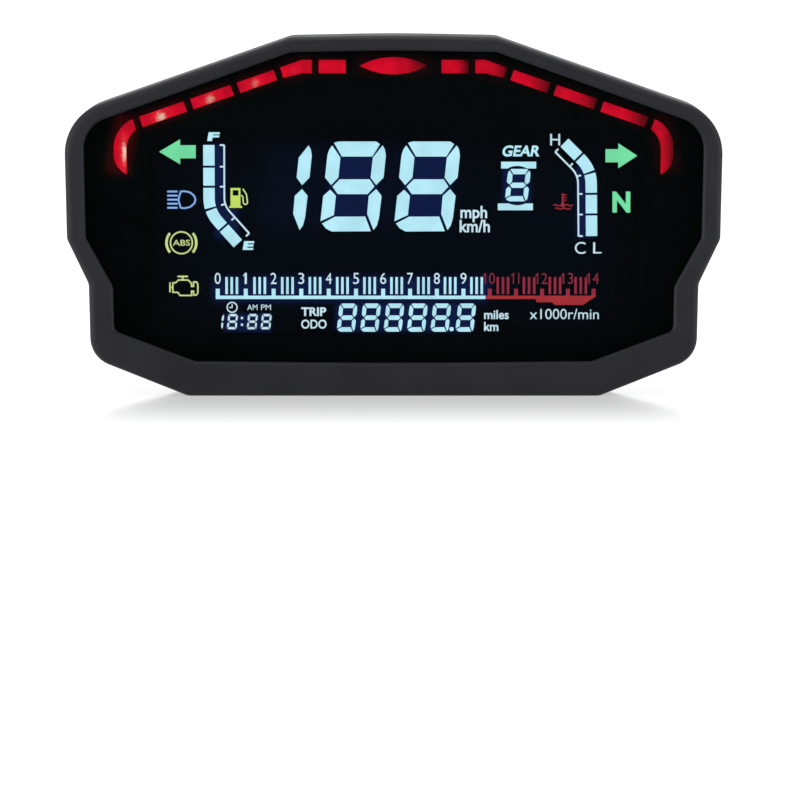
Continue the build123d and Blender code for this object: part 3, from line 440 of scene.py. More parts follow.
SHARP_FROM = radians(28)  # edges that turn more than this stay sharp


def paint_nodes():
    """Give every CAD node the material of its slot, and smooth its curved faces."""
    slots = {entry["node"]: entry["material_slot"] for entry in frame["record"]["subparts"]}
    for name, node in NODES.items():
        node.data.materials.clear()
        node.data.materials.append(MATERIALS[slots[name]])
        node.data.shade_smooth()
        node.data.set_sharp_from_angle(angle=SHARP_FROM)


def add_object(name, data):
    """A new object in the scene."""
    thing = bpy.data.objects.new(name, data)
    bpy.context.scene.collection.objects.link(thing)
    return thing


# ---------------------------------------------------------------- flat shapes of the display
class Ink:
    """Thin raised shapes that together make one piece of the display."""

    def __init__(self):
        self.points = []
        self.faces = []

    def polygon(self, outline):
        """One outline, given as (x, z) in millimetres, made a thin plate."""
        area = sum(a[0] * b[1] - b[0] * a[1] for a, b in zip(outline, [*outline[1:], outline[0]]))
        outline = list(outline) if area > 0 else list(reversed(outline))
        first = len(self.points)
        count = len(outline)
        for y in (INK_BACK - INK_THICKNESS, INK_BACK):
            self.points += [(x * MM, y, (z - LAYOUT_DROP) * MM) for x, z in outline]
        front = [first + n for n in range(count)]
        back = [first + count + n for n in range(count)]
        self.faces += [front, list(reversed(back))]
        for n in range(count):
            after = (n + 1) % count
            self.faces.append([front[after], front[n], back[n], back[after]])
        return self

    def rectangle(self, left, right, low, high):
        """An upright rectangle."""
        return self.polygon([(left, low), (right, low), (right, high), (left, high)])

    def stroke(self, path, width, closed=False):
        """A line of constant width along (x, z) points."""
        half = width / 2
        count = len(path)
        sides = []
        for n, point in enumerate(path):
            before = path[n - 1] if n or closed else point
            after = path[(n + 1) % count] if n < count - 1 or closed else point
            sides.append(mitre(before, point, after, half))
        for n in range(count if closed else count - 1):
            a, b = sides[n], sides[(n + 1) % count]
            self.polygon([a[0], b[0], b[1], a[1]])
        return self

    def ring(self, x, z, radius, width, start=0.0, end=360.0, steps=40):
        """A ring, or the part of one between two angles."""
        inner, outer = radius - width / 2, radius + width / 2
        for n in range(steps):
            a = radians(start + (end - start) * n / steps)
            b = radians(start + (end - start) * (n + 1) / steps)
            corners = [(outer, a), (outer, b), (inner, b), (inner, a)]
            self.polygon([(x + r * cos(t), z + r * sin(t)) for r, t in corners])
        return self

    def dot(self, x, z, radius, steps=20):
        """A round dot."""
        turns = [2 * pi * n / steps for n in range(steps)]
        return self.polygon([(x + radius * cos(t), z + radius * sin(t)) for t in turns])

    def build(self, name, material):
        """The piece, which moves with the housing."""
        mesh = bpy.data.meshes.new(name)
        mesh.from_pydata(self.points, [], self.faces)
        mesh.validate()
        mesh.materials.append(material)
        piece = add_object(name, mesh)
        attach(piece, "housing")


MITRE_LEAST = 0.4  # keeps the corner of a sharp turn short


def mitre(before, point, after, half):
    """The two sides of a line of half a width at a point where it may turn."""
    first = unit(before, point) or unit(point, after)
    second = unit(point, after) or first
    x, z = first[0] + second[0], first[1] + second[1]
    size = hypot(x, z)
    tangent = (x / size, z / size)
    stretch = half / max(MITRE_LEAST, tangent[0] * first[0] + tangent[1] * first[1])
    normal = (-tangent[1] * stretch, tangent[0] * stretch)
    return (point[0] + normal[0], point[1] + normal[1]), (point[0] - normal[0], point[1] - normal[1])


def unit(a, b):
    """The direction from one point to another, or None where they are the same."""
    size = hypot(b[0] - a[0], b[1] - a[1])
    return ((b[0] - a[0]) / size, (b[1] - a[1]) / size) if size > 1e-9 else None


def rounded_path(points, radius, steps=10):
    """Straight runs with each corner rounded off."""
    path = [points[0]]
    for before, corner, after in zip(points, points[1:], points[2:]):
        into, out = unit(before, corner), unit(corner, after)
        turn = atan2(into[0] * out[1] - into[1] * out[0], into[0] * out[0] + into[1] * out[1])
        reach = radius * tan(abs(turn) / 2)
        start = (corner[0] - into[0] * reach, corner[1] - into[1] * reach)
        end = (corner[0] + out[0] * reach, corner[1] + out[1] * reach)
        for n in range(steps + 1):
            share = n / steps
            weights = ((1 - share) ** 2, 2 * share * (1 - share), share**2)
            places = (start, corner, end)
            path.append(tuple(sum(w * place[k] for w, place in zip(weights, places)) for k in (0, 1)))
    path.append(points[-1])
    return path


def path_lengths(path):
    """The length of a path up to each of its points."""
    lengths = [0.0]
    for a, b in zip(path, path[1:]):
        lengths.append(lengths[-1] + hypot(b[0] - a[0], b[1] - a[1]))
    return lengths


def path_at(path, share):
    """The place and direction at a share of a path's length."""
    lengths = path_lengths(path)
    goal = share * lengths[-1]
    for n in range(len(path) - 1):
        if lengths[n + 1] >= goal - 1e-9 and lengths[n + 1] > lengths[n]:
            part = (goal - lengths[n]) / (lengths[n + 1] - lengths[n])
            a, b = path[n], path[n + 1]
            return (a[0] + (b[0] - a[0]) * part, a[1] + (b[1] - a[1]) * part), unit(a, b)
    return path[-1], unit(path[-2], path[-1])


def path_piece(path, start, end, steps=12):
    """The part of a path between two shares of its length."""
    return [path_at(path, start + (end - start) * n / steps)[0] for n in range(steps + 1)]


# ---------------------------------------------------------------- digits and words
SEGMENT_TRIM = 0.07  # taken off every segment at its corners, which widens the lines between them
SHOWN_SEGMENTS = {"1": "bc", "8": "abcdefg"}
SEGMENTS = {  # outlines as shares of the digit's height: from its left edge, and down from its top
    "a": [(0.056, 0.015), (0.106, 0.0), (0.52, 0.0), (0.565, 0.03), (0.495, 0.169), (0.158, 0.169)],
    "b": [(0.592, 0.041), (0.622, 0.085), (0.64, 0.151), (0.64, 0.403), (0.566, 0.486), (0.497, 0.403),
          (0.497, 0.177)],
    "c": [(0.571, 0.524), (0.64, 0.6), (0.637, 0.849), (0.622, 0.935), (0.590, 0.985), (0.5, 0.804),
          (0.497, 0.6)],
    "d": [(0.017, 0.909), (0.155, 0.831), (0.487, 0.831), (0.565, 0.996), (0.133, 1.0), (0.065, 0.965)],
    "e": [(0.071, 0.532), (0.142, 0.6), (0.142, 0.819), (0.0, 0.887), (0.0, 0.6)],
    "f": [(0.042, 0.041), (0.148, 0.177), (0.148, 0.403), (0.076, 0.486), (0.0, 0.403), (0.0, 0.151),
          (0.014, 0.088)],
    "g": [(0.09, 0.5), (0.16, 0.418), (0.492, 0.418), (0.553, 0.5), (0.487, 0.585), (0.156, 0.585)],
}


def draw_digit(ink, shown, left, low, height, stretch=1.0):
    """One leaning digit, from the lower left corner of its leaning frame."""
    for key in SHOWN_SEGMENTS[shown]:
        outline = []
        for across, down in SEGMENTS[key]:
            up = (1 - down) * height
            outline.append((left + across * height * stretch + up * DIGIT_LEAN, low + up))
        middle = [sum(point[k] for point in outline) / len(outline) for k in (0, 1)]
        trimmed = []
        for point in outline:
            way = unit(point, middle)
            trimmed.append((point[0] + way[0] * SEGMENT_TRIM, point[1] + way[1] * SEGMENT_TRIM))
        ink.polygon(trimmed)


def words(name, text, left, right, low, high, material, slant=0.0, weight=0.0):
    """Generic lettering, fitted to a box: the slant is in degrees, and the weight thickens its strokes."""
    curve = bpy.data.curves.new(name, "FONT")
    curve.body = text
    curve.offset = weight
    curve.extrude = 0.5  # so that its depth is 1, from -0.5 to 0.5
    holder = add_object(name, curve)
    bpy.context.view_layer.update()
    mesh = bpy.data.meshes.new_from_object(holder.evaluated_get(bpy.context.evaluated_depsgraph_get()))
    bpy.data.objects.remove(holder)
    xs = [v.co.x for v in mesh.vertices]
    ys = [v.co.y for v in mesh.vertices]
    start, foot = min(xs), min(ys)
    wide, tall = max(xs) - start, max(ys) - foot
    spare = (high - low) * tan(radians(slant))
    for vertex in mesh.vertices:
        across = (vertex.co.x - start) / wide
        up = (vertex.co.y - foot) / tall
        x = left + across * (right - left - spare) + up * spare
        z = low + up * (high - low)
        y = INK_BACK - INK_THICKNESS * (vertex.co.z + 0.5)
        vertex.co = (x * MM, y, (z - LAYOUT_DROP) * MM)
    mesh.materials.clear()
    mesh.materials.append(material)
    piece = add_object(name, mesh)
    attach(piece, "housing")


# ---------------------------------------------------------------- display layout, millimetres
SPEED_LEFTS, SPEED_STRETCH = (-37.3, -18.7, -0.1), 1.015
BAR_WIDTH, BAR_BEND, BLOCK_GAP = 2.85, 9.0, 0.28
SCALE_LINE, SCALE_TICK, SCALE_STEPS = 0.42, 1.1, 40
FUEL_SCALE, TEMPERATURE_SCALE = 3.85, 3.3  # from the middle of a gauge's bar to its thin scale
FUEL_MARKS, TEMPERATURE_MARKS = (0.2, 0.385, 0.59, 0.80), (0.20, 0.385, 0.59, 0.79)  # shares of the bar


def speed_digits():
    """The three large digits and the two units beside them."""
    ink = Ink()
    for shown, left in zip("188", SPEED_LEFTS):
        draw_digit(ink, shown, left, SPEED_LOW, SPEED_HEIGHT, SPEED_STRETCH)
    ink.build("speed_digits", LIT["ice"])
    words("unit_mph", "mph", 16.8, 23.5, 43.9, 48.0, LIT["pale"], weight=0.02)
    words("unit_kmh", "km/h", 16.6, 24.2, 41.3, 44.5, LIT["pale"], weight=0.02)


def gauge(name, route, marks, side, offset):
    """A curved bar gauge in blocks, with a thin scale on one side, 1 or -1, at an offset from its middle."""
    path = rounded_path(route, BAR_BEND)
    edges = [0.0, *marks, 1.0]
    gap = BLOCK_GAP / path_lengths(path)[-1]
    ink = Ink()
    for start, end in zip(edges, edges[1:]):
        from_share = start + (gap if start else 0.0)
        to_share = end - (gap if end < 1.0 else 0.0)
        ink.stroke(path_piece(path, from_share, to_share), BAR_WIDTH)
    ink.build(name + "_bar", LIT["ice"])

    def beside(share, reach):
        """A point at a reach from the bar's middle, on the side of the scale."""
        place, heading = path_at(path, share)
        return place[0] - side * heading[1] * reach, place[1] + side * heading[0] * reach

    scale = Ink()
    scale.stroke([beside(n / SCALE_STEPS, offset) for n in range(SCALE_STEPS + 1)], SCALE_LINE)
    for share in edges:
        inside = min(0.999, max(0.001, share))
        scale.stroke([beside(inside, offset - SCALE_TICK), beside(inside, offset)], SCALE_LINE)
    scale.build(name + "_scale", LIT["pale"])


def fuel_gauge():
    """The fuel bar, which curves down to the right, with F and E at its ends."""
    route = [(-46.4, 63.3), (-46.4, 46.6), (-39.2, 38.5)]
    gauge("fuel", route, FUEL_MARKS, 1, FUEL_SCALE)
    words("fuel_full", "F", -46.8, -43.6, 64.3, 66.5, LIT["ice"], slant=10.0, weight=0.05)
    words("fuel_empty", "E", -38.0, -35.0, 36.9, 39.1, LIT["ice"], slant=10.0, weight=0.05)


def temperature_gauge():
    """The temperature bar, which curves down from H, with C and L under it."""
    route = [(42.9, 63.9), (49.6, 57.2), (49.8, 40.4)]
    gauge("temperature", route, TEMPERATURE_MARKS, -1, TEMPERATURE_SCALE)
    words("temperature_hot", "H", 39.3, 41.8, 63.2, 66.1, LIT["pale"], weight=0.005)
    words("temperature_cold", "C", 45.6, 48.3, 35.9, 38.9, LIT["pale"])
    words("temperature_low", "L", 50.2, 52.3, 36.0, 38.8, LIT["pale"])


ARROW_HALF, ARROW_STEM_HALF = 3.15, 1.65


def arrow(name, tip, head, tail, middle):
    """A direction arrow, from the X of its tip, the back of its head and its tail, and its middle height."""
    upper = [(head, ARROW_HALF), (head, ARROW_STEM_HALF), (tail, ARROW_STEM_HALF)]
    lower = [(x, -z) for x, z in reversed(upper)]
    outline = [(tip, middle), *((x, middle + z) for x, z in upper + lower)]
    Ink().polygon(outline).build(name, LIT["green"])


def high_beam_icon():
    """A headlamp with five rays."""
    middle, ray_top, ray_pitch, ray_half, line = 49.55, 51.6, 1.02, 0.23, 0.42
    ink = Ink()
    for n in range(5):
        z = ray_top - n * ray_pitch
        ink.rectangle(-56.9, -54.3, z - ray_half, z + ray_half)
    ink.build("high_beam_rays", LIT["blue"])
    lens = [(-53.5, 51.6), (-52.6, 51.7), (-51.2, 51.4), (-50.1, 50.5), (-49.8, middle)]
    low = [(x, 2 * middle - z) for x, z in reversed(lens[:-1])]
    back = [(-53.95, 48.9), (-54.05, middle), (-53.95, 50.2)]
    Ink().stroke([*lens, *low, *back], line, closed=True).build("high_beam_lens", LIT["blue"])


def abs_icon():
    """Three letters in a circle, between two brake shoes."""
    x, z = -53.4, 38.7
    half_wide, half_tall = 2.15, 0.75
    circle, circle_line, shoe, shoe_line, shoe_angle = 2.75, 0.36, 3.75, 0.62, 80.0
    Ink().ring(x, z, circle, circle_line).build("abs_circle", LIT["pale_yellow"])
    letters = (x - half_wide, x + half_wide, z - half_tall, z + half_tall)
    words("abs_letters", "ABS", *letters, LIT["pale_yellow"], weight=0.01)
    shoes = Ink()
    for middle in (0.0, 180.0):
        shoes.ring(x, z, shoe, shoe_line, middle - shoe_angle / 2, middle + shoe_angle / 2, 16)
    shoes.build("abs_shoes", LIT["pale_yellow"])


def engine_icon():
    """The outline of an engine block with its filler cap and front pulley."""
    line = 0.34
    ink = Ink()
    outline = [
        (-55.6, 28.6), (-54.9, 28.6), (-54.2, 29.3), (-51.7, 29.3), (-50.9, 28.4), (-50.9, 27.7),
        (-50.4, 27.7), (-50.4, 28.8), (-49.6, 28.8), (-49.3, 28.2), (-49.3, 26.1), (-49.7, 25.5),
        (-50.4, 25.5), (-50.4, 26.5), (-50.9, 26.5), (-50.9, 25.4), (-53.8, 25.4), (-54.4, 26.2),
        (-55.6, 26.2),
    ]
    ink.stroke(outline, line, closed=True)
    ink.rectangle(-54.4, -51.8, 30.0, 30.4)
    ink.rectangle(-53.3, -52.9, 29.3, 30.1)
    ink.rectangle(-56.5, -56.15, 26.2, 28.7)
    ink.rectangle(-56.2, -55.6, 27.25, 27.6)
    ink.build("engine_icon", LIT["pale_yellow"])


def fuel_icon():
    """A fuel pump with a window, and its hose."""
    hose_bend, hose_line = 0.5, 0.32
    ink = Ink()
    ink.rectangle(-41.0, -38.5, 47.9, 50.6).rectangle(-41.0, -40.45, 50.6, 52.5)
    ink.rectangle(-39.0, -38.5, 50.6, 52.5).rectangle(-40.45, -39.0, 51.95, 52.5)
    ink.rectangle(-41.3, -38.1, 47.5, 47.95)
    ink.build("fuel_pump", LIT["yellow"])
    hose = [(-38.4, 50.6), (-37.9, 50.5), (-37.8, 48.7), (-37.3, 48.2), (-36.7, 48.7), (-37.0, 50.9)]
    hose.append((-37.9, 52.3))
    Ink().stroke(rounded_path(hose, hose_bend, 4), hose_line).build("fuel_hose", LIT["pale_yellow"])


def temperature_icon():
    """A thermometer with three marks, over waves."""
    mark_low, mark_pitch, mark_thick = 49.3, 0.7, 0.25
    wave_rise, wave_turn, wave_line, wave_steps = 0.16, 3.4, 0.26, 16  # the turn is in radians per mm
    ink = Ink()
    ink.rectangle(42.25, 42.75, 48.3, 51.1).dot(42.5, 48.2, 0.55)
    for n in range(3):
        low = mark_low + n * mark_pitch
        ink.rectangle(42.75, 43.5, low, low + mark_thick)
    for middle, left, right in ((48.15, 40.1, 41.9), (48.15, 43.1, 45.1), (47.3, 40.6, 44.6)):
        along = [(right - left) * n / wave_steps for n in range(wave_steps + 1)]
        ink.stroke([(left + x, middle + wave_rise * sin(x * wave_turn)) for x in along], wave_line)
    ink.build("temperature_icon", LIT["red_icon"])


GEAR_MIDDLE, GEAR_BITE = (31.05, 53.1), 4.95  # the round space that the two bars leave around the digit
GEAR_BITE_STEPS = 12


def gear_panel():
    """The gear digit between two bars, each with a round bite out of its inner edge."""
    words("gear_word", "GEAR", 27.1, 37.1, 60.4, 63.2, LIT["ice"], slant=11.0, weight=0.03)
    digit = Ink()
    draw_digit(digit, "8", left=27.9, low=49.1, height=8.2, stretch=1.1)
    digit.build("gear_digit", LIT["ice"])
    bars = Ink()
    middle_x, middle_z = GEAR_MIDDLE
    for inner, outer, left, right in ((57.4, 59.1, 27.0, 35.8), (48.6, 46.9, 26.2, 35.0)):
        way = 1 if inner > middle_z else -1
        half = (GEAR_BITE**2 - (inner - middle_z) ** 2) ** 0.5
        bite = []
        for n in range(GEAR_BITE_STEPS + 1):
            x = half * (2 * n / GEAR_BITE_STEPS - 1)
            bite.append((middle_x + x, middle_z + way * (GEAR_BITE**2 - x**2) ** 0.5))
        for a, b in zip(bite, bite[1:]):
            bars.polygon([a, b, (b[0], outer), (a[0], outer)])
        low, high = min(inner, outer), max(inner, outer)
        bars.rectangle(left, bite[0][0], low, high).rectangle(bite[-1][0], right, low, high)
    bars.build("gear_bars", LIT["ice"])


def neutral_letter():
    """The green letter of the neutral gear."""
    words("neutral_letter", "N", 55.0, 59.5, 46.3, 51.6, LIT["green"], weight=0.045)


TACH_START, TACH_PITCH, TACH_CROWDING = -44.3, 7.08, 0.0228
TACH_LOW, TACH_HIGH = 24.5, 25.35
TACH_RED, TACH_LAST = 10, 14  # where the scale turns red, and its last number
TACH_TICK_HALF, TACH_TICK_TOP = 0.5, 27.1
TACH_BAR, TACH_BAR_HALF, TACH_BAR_PITCH = (25.75, 30.05), 0.31, 1.3  # the three bars in each division
TACH_NUMBERS = (28.3, 31.1)
TACH_HALF, TACH_WIDE_HALF = 0.75, 1.3  # half widths of the numbers with one digit and with two
TACH_NARROW = {1: 0.28, 11: 0.8}  # those of the numbers that are all ones
FLAG_TOP, FLAG_FOOT, FLAG_LINE = (0.3, 30.95), (-0.35, 30.35), 0.28  # of a one, X from its left edge
TACH_RED_START, TACH_RED_GAP = 1.1, 0.1  # the red line starts before its number, after a gap
TACH_WEDGE, TACH_WEDGE_LOW, TACH_WEDGE_LOWEST = 35.9, 23.7, 23.0  # where it widens, and how far down


def tach_place(number):
    """The X of a number on the scale, whose divisions get a little closer towards its end."""
    return TACH_START + number * TACH_PITCH - number**2 * TACH_CROWDING


def tachometer():
    """The numbered scale with its line, which turns red at ten thousand."""
    white, red = Ink(), Ink()
    for number in range(TACH_LAST + 1):
        x = tach_place(number)
        ink = red if number >= TACH_RED else white
        ink.rectangle(x - TACH_TICK_HALF, x + TACH_TICK_HALF, TACH_HIGH, TACH_TICK_TOP)
        colour = LIT["red_number"] if number >= TACH_RED else LIT["pale"]
        text = str(number)
        half = TACH_NARROW.get(number, TACH_HALF if number < TACH_RED else TACH_WIDE_HALF)
        words(f"tach_number_{number}", text, x - half, x + half, *TACH_NUMBERS, colour)
        if text[0] == "1":
            ink.stroke([(x - half + across, z) for across, z in (FLAG_TOP, FLAG_FOOT)], FLAG_LINE)
        if number < TACH_LAST:
            for side in (-1, 0, 1):
                middle = (x + tach_place(number + 1)) / 2 + side * TACH_BAR_PITCH
                ink.rectangle(middle - TACH_BAR_HALF, middle + TACH_BAR_HALF, *TACH_BAR)
    edge = tach_place(TACH_RED) - TACH_RED_START
    white.rectangle(TACH_START - TACH_TICK_HALF, edge, TACH_LOW, TACH_HIGH)
    white.build("tach_scale_white", LIT["ice"])
    red.build("tach_scale_red", LIT["red_scale"])
    line = Ink()
    line.rectangle(edge + TACH_RED_GAP, TACH_WEDGE, TACH_LOW, TACH_HIGH)
    line.polygon([
        (TACH_WEDGE, TACH_WEDGE_LOW), (39.9, TACH_WEDGE_LOW), (40.6, TACH_WEDGE_LOWEST),
        (47.6, TACH_WEDGE_LOWEST), (51.2, TACH_HIGH), (TACH_WEDGE, TACH_HIGH),
    ])
    line.build("tach_red_line", LIT["red_bar"])


CLOCK_LEFTS, CLOCK_LOW, CLOCK_HEIGHT = (-45.6, -42.1, -37.1, -33.6), 16.8, 3.95
CLOCK_COLON, CLOCK_COLON_HALF = (18.0, 19.7), 0.28


def clock():
    """A clock face, the words beside it and four digits under them."""
    face_x, face_z, radius, face_line, hand_line = -40.7, 22.4, 1.25, 0.3, 0.26
    ink = Ink()
    ink.ring(face_x, face_z, radius, face_line)
    ink.stroke([(face_x, 23.2), (face_x, 22.35), (-41.4, 22.35)], hand_line)
    ink.build("clock_icon", LIT["pale"])
    words("clock_am", "AM", -36.9, -34.3, 21.7, 23.1, LIT["pale"])
    words("clock_pm", "PM", -33.4, -30.9, 21.7, 23.1, LIT["pale"])
    digits = Ink()
    for shown, left in zip("1888", CLOCK_LEFTS):
        draw_digit(digits, shown, left, CLOCK_LOW, CLOCK_HEIGHT)
    for z in CLOCK_COLON:
        digits.rectangle(-38.5, -37.95, z - CLOCK_COLON_HALF, z + CLOCK_COLON_HALF)
    digits.build("clock_digits", LIT["pale"])


ODOMETER_LEFTS, ODOMETER_LOW, ODOMETER_HEIGHT = (-14.4, -8.5, -2.6, 3.3, 9.2, 15.5), 16.2, 7.2


def odometer():
    """The trip and distance counter with its labels, and the unit of the rev counter."""
    words("label_trip", "TRIP", -23.3, -17.0, 20.2, 22.4, LIT["pale"], weight=0.03)
    words("label_odo", "ODO", -23.3, -16.9, 17.0, 19.3, LIT["pale"], weight=0.02)
    ink = Ink()
    for left in ODOMETER_LEFTS:
        draw_digit(ink, "8", left, ODOMETER_LOW, ODOMETER_HEIGHT)
    ink.dot(14.6, 16.9, 0.55)  # the decimal point
    ink.build("odometer_digits", LIT["ice"])
    words("label_miles", "miles", 22.8, 29.0, 19.4, 21.7, LIT["pale"], weight=0.02)
    words("label_km", "km", 22.8, 26.4, 16.4, 18.7, LIT["pale"], weight=0.02)
    words("label_rev_unit", "x1000r/min", 34.3, 51.7, 19.4, 22.0, LIT["pale"])


# ---------------------------------------------------------------- window and studs
STUDS = next(mount for mount in frame["record"]["mounts"] if mount["name"] == "mounting_studs")
STUD_COUNT, STUD_RADIUS = STUDS["dims"]["count"], STUDS["dims"]["stud_r_mm"]
STUD_HEAD, STUD_HEAD_RADIUS, STUD_NECK = 2.0, 4.5, 3.2  # head thickness and radius, shoulder radius
THREAD_PITCH, THREAD_DEPTH = 0.8, 0.45
STUD_TIP = 0.6  # chamfer at the end
STUD_SIDES, THREAD_STEPS = 48, 8  # points around a stud, and rings in each pitch
THREAD_SHARP_FROM = radians(35)


def seated_lens():
    """The window as in the frame, with its back a hair in front of the mask that it lies on."""
    low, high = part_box("window_lens")
    middle = (low.y + high.y) / 2
    mesh = NODES["window_lens"].data.copy()
    for vertex in mesh.vertices:
        if vertex.co.y > middle:
            vertex.co.y -= LENS_RELIEF
    piece = add_object("smoked_window_pane", mesh)
    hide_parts("window_lens")
    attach(piece, "housing")


def stud_rows(head, tip):
    """A stud from its head to its tip, as (y, radius at a share of a turn) for each ring."""
    back, seat = (corner.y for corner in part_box("dampers"))
    rows = [(y, lambda turn: STUD_NECK * MM) for y in (head, back, seat)]
    steps = int((tip - STUD_TIP * MM - seat) / (THREAD_PITCH * MM) * THREAD_STEPS)
    for n in range(steps + 1):
        y = seat + n * THREAD_PITCH * MM / THREAD_STEPS

        def thread(turn, along=n / THREAD_STEPS):
            return (STUD_RADIUS - THREAD_DEPTH * abs(2 * ((along - turn) % 1.0) - 1)) * MM

        rows.append((y, thread))
    rows.append((tip, lambda turn: (STUD_RADIUS - STUD_TIP) * MM))
    return rows


def hexagon(turn):
    """The radius of the stud's head at a share of a turn."""
    from_flat = (turn * 6 % 1.0 - 0.5) * pi / 3
    return STUD_HEAD_RADIUS * cos(pi / 6) / cos(from_flat) * MM


def add_stud(points, faces, centre_x, centre_z, rows):
    """One stud: a ring of points for each row, with faces between the rings and over both ends."""
    first = len(points)
    for y, radius in rows:
        for k in range(STUD_SIDES):
            turn = k / STUD_SIDES
            out = radius(turn)
            points.append((centre_x + out * cos(2 * pi * turn), y, centre_z + out * sin(2 * pi * turn)))
    for n in range(len(rows) - 1):
        for k in range(STUD_SIDES):
            a = first + n * STUD_SIDES + k
            b = first + n * STUD_SIDES + (k + 1) % STUD_SIDES
            faces.append([a, a + STUD_SIDES, b + STUD_SIDES, b])
    last = first + (len(rows) - 1) * STUD_SIDES
    faces.append([first + k for k in range(STUD_SIDES)])
    faces.append([last + k for k in reversed(range(STUD_SIDES))])


def threaded_studs():
    """The three studs with real thread, in place of the plain ones."""
    middle_x, _, middle_z = STUDS["pos_m"]
    circle = STUDS["dims"]["pcd_mm"] / 2 * MM
    foot, tip = (corner.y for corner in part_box("mounting_studs"))
    head = foot + STUD_HEAD * MM
    rows = [(foot, hexagon), (head, hexagon), *stud_rows(head, tip)]
    points, faces = [], []
    for n in range(STUD_COUNT):
        angle = radians(90 + 360 * n / STUD_COUNT)
        add_stud(points, faces, middle_x + circle * cos(angle), middle_z + circle * sin(angle), rows)
    mesh = bpy.data.meshes.new("stud_threads")
    mesh.from_pydata(points, [], faces)
    mesh.validate()
    mesh.shade_smooth()
    mesh.set_sharp_from_angle(angle=THREAD_SHARP_FROM)
    mesh.materials.append(MATERIALS["zinc_steel"])
    piece = add_object("stud_threads", mesh)
    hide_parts("mounting_studs")
    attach(piece, "housing")


# ---------------------------------------------------------------- studio, metres and watts
PAPER_DARK, PAPER_LIGHT, PAPER_GLOW = 0.26, 0.30, 0.92
MIRROR_HALF, MIRROR_FADE, MIRROR_SHARE = (0.05, 0.03, 1.0), 0.11, 0.5  # only the floor near the cluster
AIM = (0.0, 0.0, 0.05)  # the middle of the cluster
LIGHTS = (  # name, place, size, watts
    ("overhead", (0.0, 0.15, 1.5), (1.6, 1.2), 16.0),
    ("front_left", (-1.2, -1.3, 0.9), (0.9, 0.9), 7.5),
    ("front_right", (1.3, -1.2, 0.7), (0.9, 0.9), 3.0),
    ("rake_left", (-1.6, -0.45, 0.25), (0.5, 0.5), 12.0),
    ("rake_right", (1.6, -0.45, 0.3), (0.5, 0.5), 8.0),
)
SENSOR = 36.0  # millimetres
CAMERA_RISE, CAMERA_DISTANCE = radians(6.0), 1.25
CAMERA_WIDTH = 0.2009  # seen at the camera's aim
CAMERA_AIM = (0.0016, FRONT_Y, -0.0009)


def backdrop():
    """A pale floor that curves up into a wall far behind."""
    half, near, far, bend, top, bend_steps = 3.0, -3.0, 1.6, 0.8, 3.0, 12
    profile = [(near, 0.0), (far, 0.0)]
    for n in range(1, bend_steps + 1):
        turn = pi / 2 * n / bend_steps
        profile.append((far + bend * sin(turn), bend * (1 - cos(turn))))
    profile.append((far + bend, top))
    points = [(x, y, z) for y, z in profile for x in (-half, half)]
    faces = [[2 * n, 2 * n + 1, 2 * n + 3, 2 * n + 2] for n in range(len(profile) - 1)]
    mesh = bpy.data.meshes.new("backdrop")
    mesh.from_pydata(points, [], faces)
    mesh.shade_smooth()
    mesh.materials.append(backdrop_material())
    floor = add_object("backdrop", mesh)


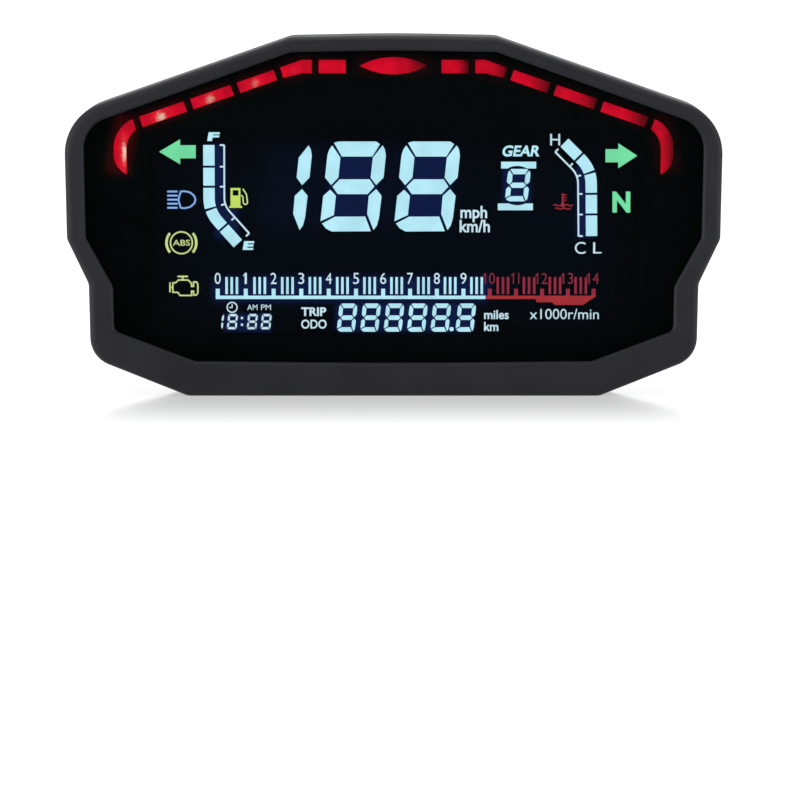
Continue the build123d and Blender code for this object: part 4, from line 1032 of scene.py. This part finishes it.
def backdrop_material():
    """Bright white paper under a clear sheet, which mirrors a little of what stands on it."""
    material, tree, shader = new_material("backdrop_white")
    paper = add_ramp(tree, add_noise(tree, 3.0), [(0.3, grey(PAPER_DARK)), (0.7, grey(PAPER_LIGHT))])
    tree.links.new(paper, shader.inputs["Base Color"])
    shader.inputs["Roughness"].default_value = 0.6
    shader.inputs["Specular IOR Level"].default_value = 0.0
    shader.inputs["Emission Color"].default_value = (1.0, 1.0, 1.0, 1.0)
    shader.inputs["Emission Strength"].default_value = PAPER_GLOW
    mirror = tree.nodes.new("ShaderNodeBsdfGlossy")
    mirror.inputs["Roughness"].default_value = 0.13
    blend = tree.nodes.new("ShaderNodeMixShader")
    place = tree.nodes.new("ShaderNodeTexCoord").outputs["Object"]
    near = outside_of(tree, place, MIRROR_HALF, MIRROR_FADE)
    tree.links.new(calc(tree, "MULTIPLY", near, MIRROR_SHARE), blend.inputs["Fac"])
    tree.links.new(shader.outputs["BSDF"], blend.inputs[1])
    tree.links.new(mirror.outputs["BSDF"], blend.inputs[2])
    tree.links.new(blend.outputs["Shader"], tree.nodes["Material Output"].inputs["Surface"])
    return material


def look_at(thing, place, aim):
    """Put a lamp or camera at a place, and turn it to its aim."""
    thing.location = place
    thing.rotation_euler = (Vector(aim) - thing.location).to_track_quat("-Z", "Y").to_euler()


def area_light(name, place, size, watts):
    """A rectangular lamp that points at the cluster."""
    data = bpy.data.lights.new(name, "AREA")
    data.shape = "RECTANGLE"
    data.size, data.size_y = size
    data.energy = watts
    look_at(add_object(name, data), place, AIM)


def studio():
    """A pale surrounding and five large lamps."""
    world = bpy.data.worlds.new("studio")
    bpy.context.scene.world = world
    world.use_nodes = True
    world.node_tree.nodes["Background"].inputs["Color"].default_value = (0.95, 0.97, 1.0, 1.0)
    world.node_tree.nodes["Background"].inputs["Strength"].default_value = 0.55
    for light in LIGHTS:
        area_light(*light)
    bpy.context.scene.view_settings.view_transform = "Standard"


def camera():
    """Almost square on, from a little above."""
    data = bpy.data.cameras.new("camera")
    data.sensor_width = SENSOR
    data.lens = SENSOR * CAMERA_DISTANCE / CAMERA_WIDTH
    data.clip_end = 20.0
    eye = add_object("camera", data)
    back = Vector((0.0, -cos(CAMERA_RISE), sin(CAMERA_RISE))) * CAMERA_DISTANCE
    look_at(eye, Vector(CAMERA_AIM) + back, CAMERA_AIM)
    bpy.context.scene.camera = eye


paint_nodes()
speed_digits()
fuel_gauge()
temperature_gauge()
arrow("arrow_left", -58.9, -53.6, -49.7, 61.6)
arrow("arrow_right", 61.2, 56.4, 53.2, 60.6)
high_beam_icon()
abs_icon()
engine_icon()
fuel_icon()
temperature_icon()
gear_panel()
neutral_letter()
tachometer()
clock()
odometer()
seated_lens()
threaded_studs()
backdrop()
studio()
camera()
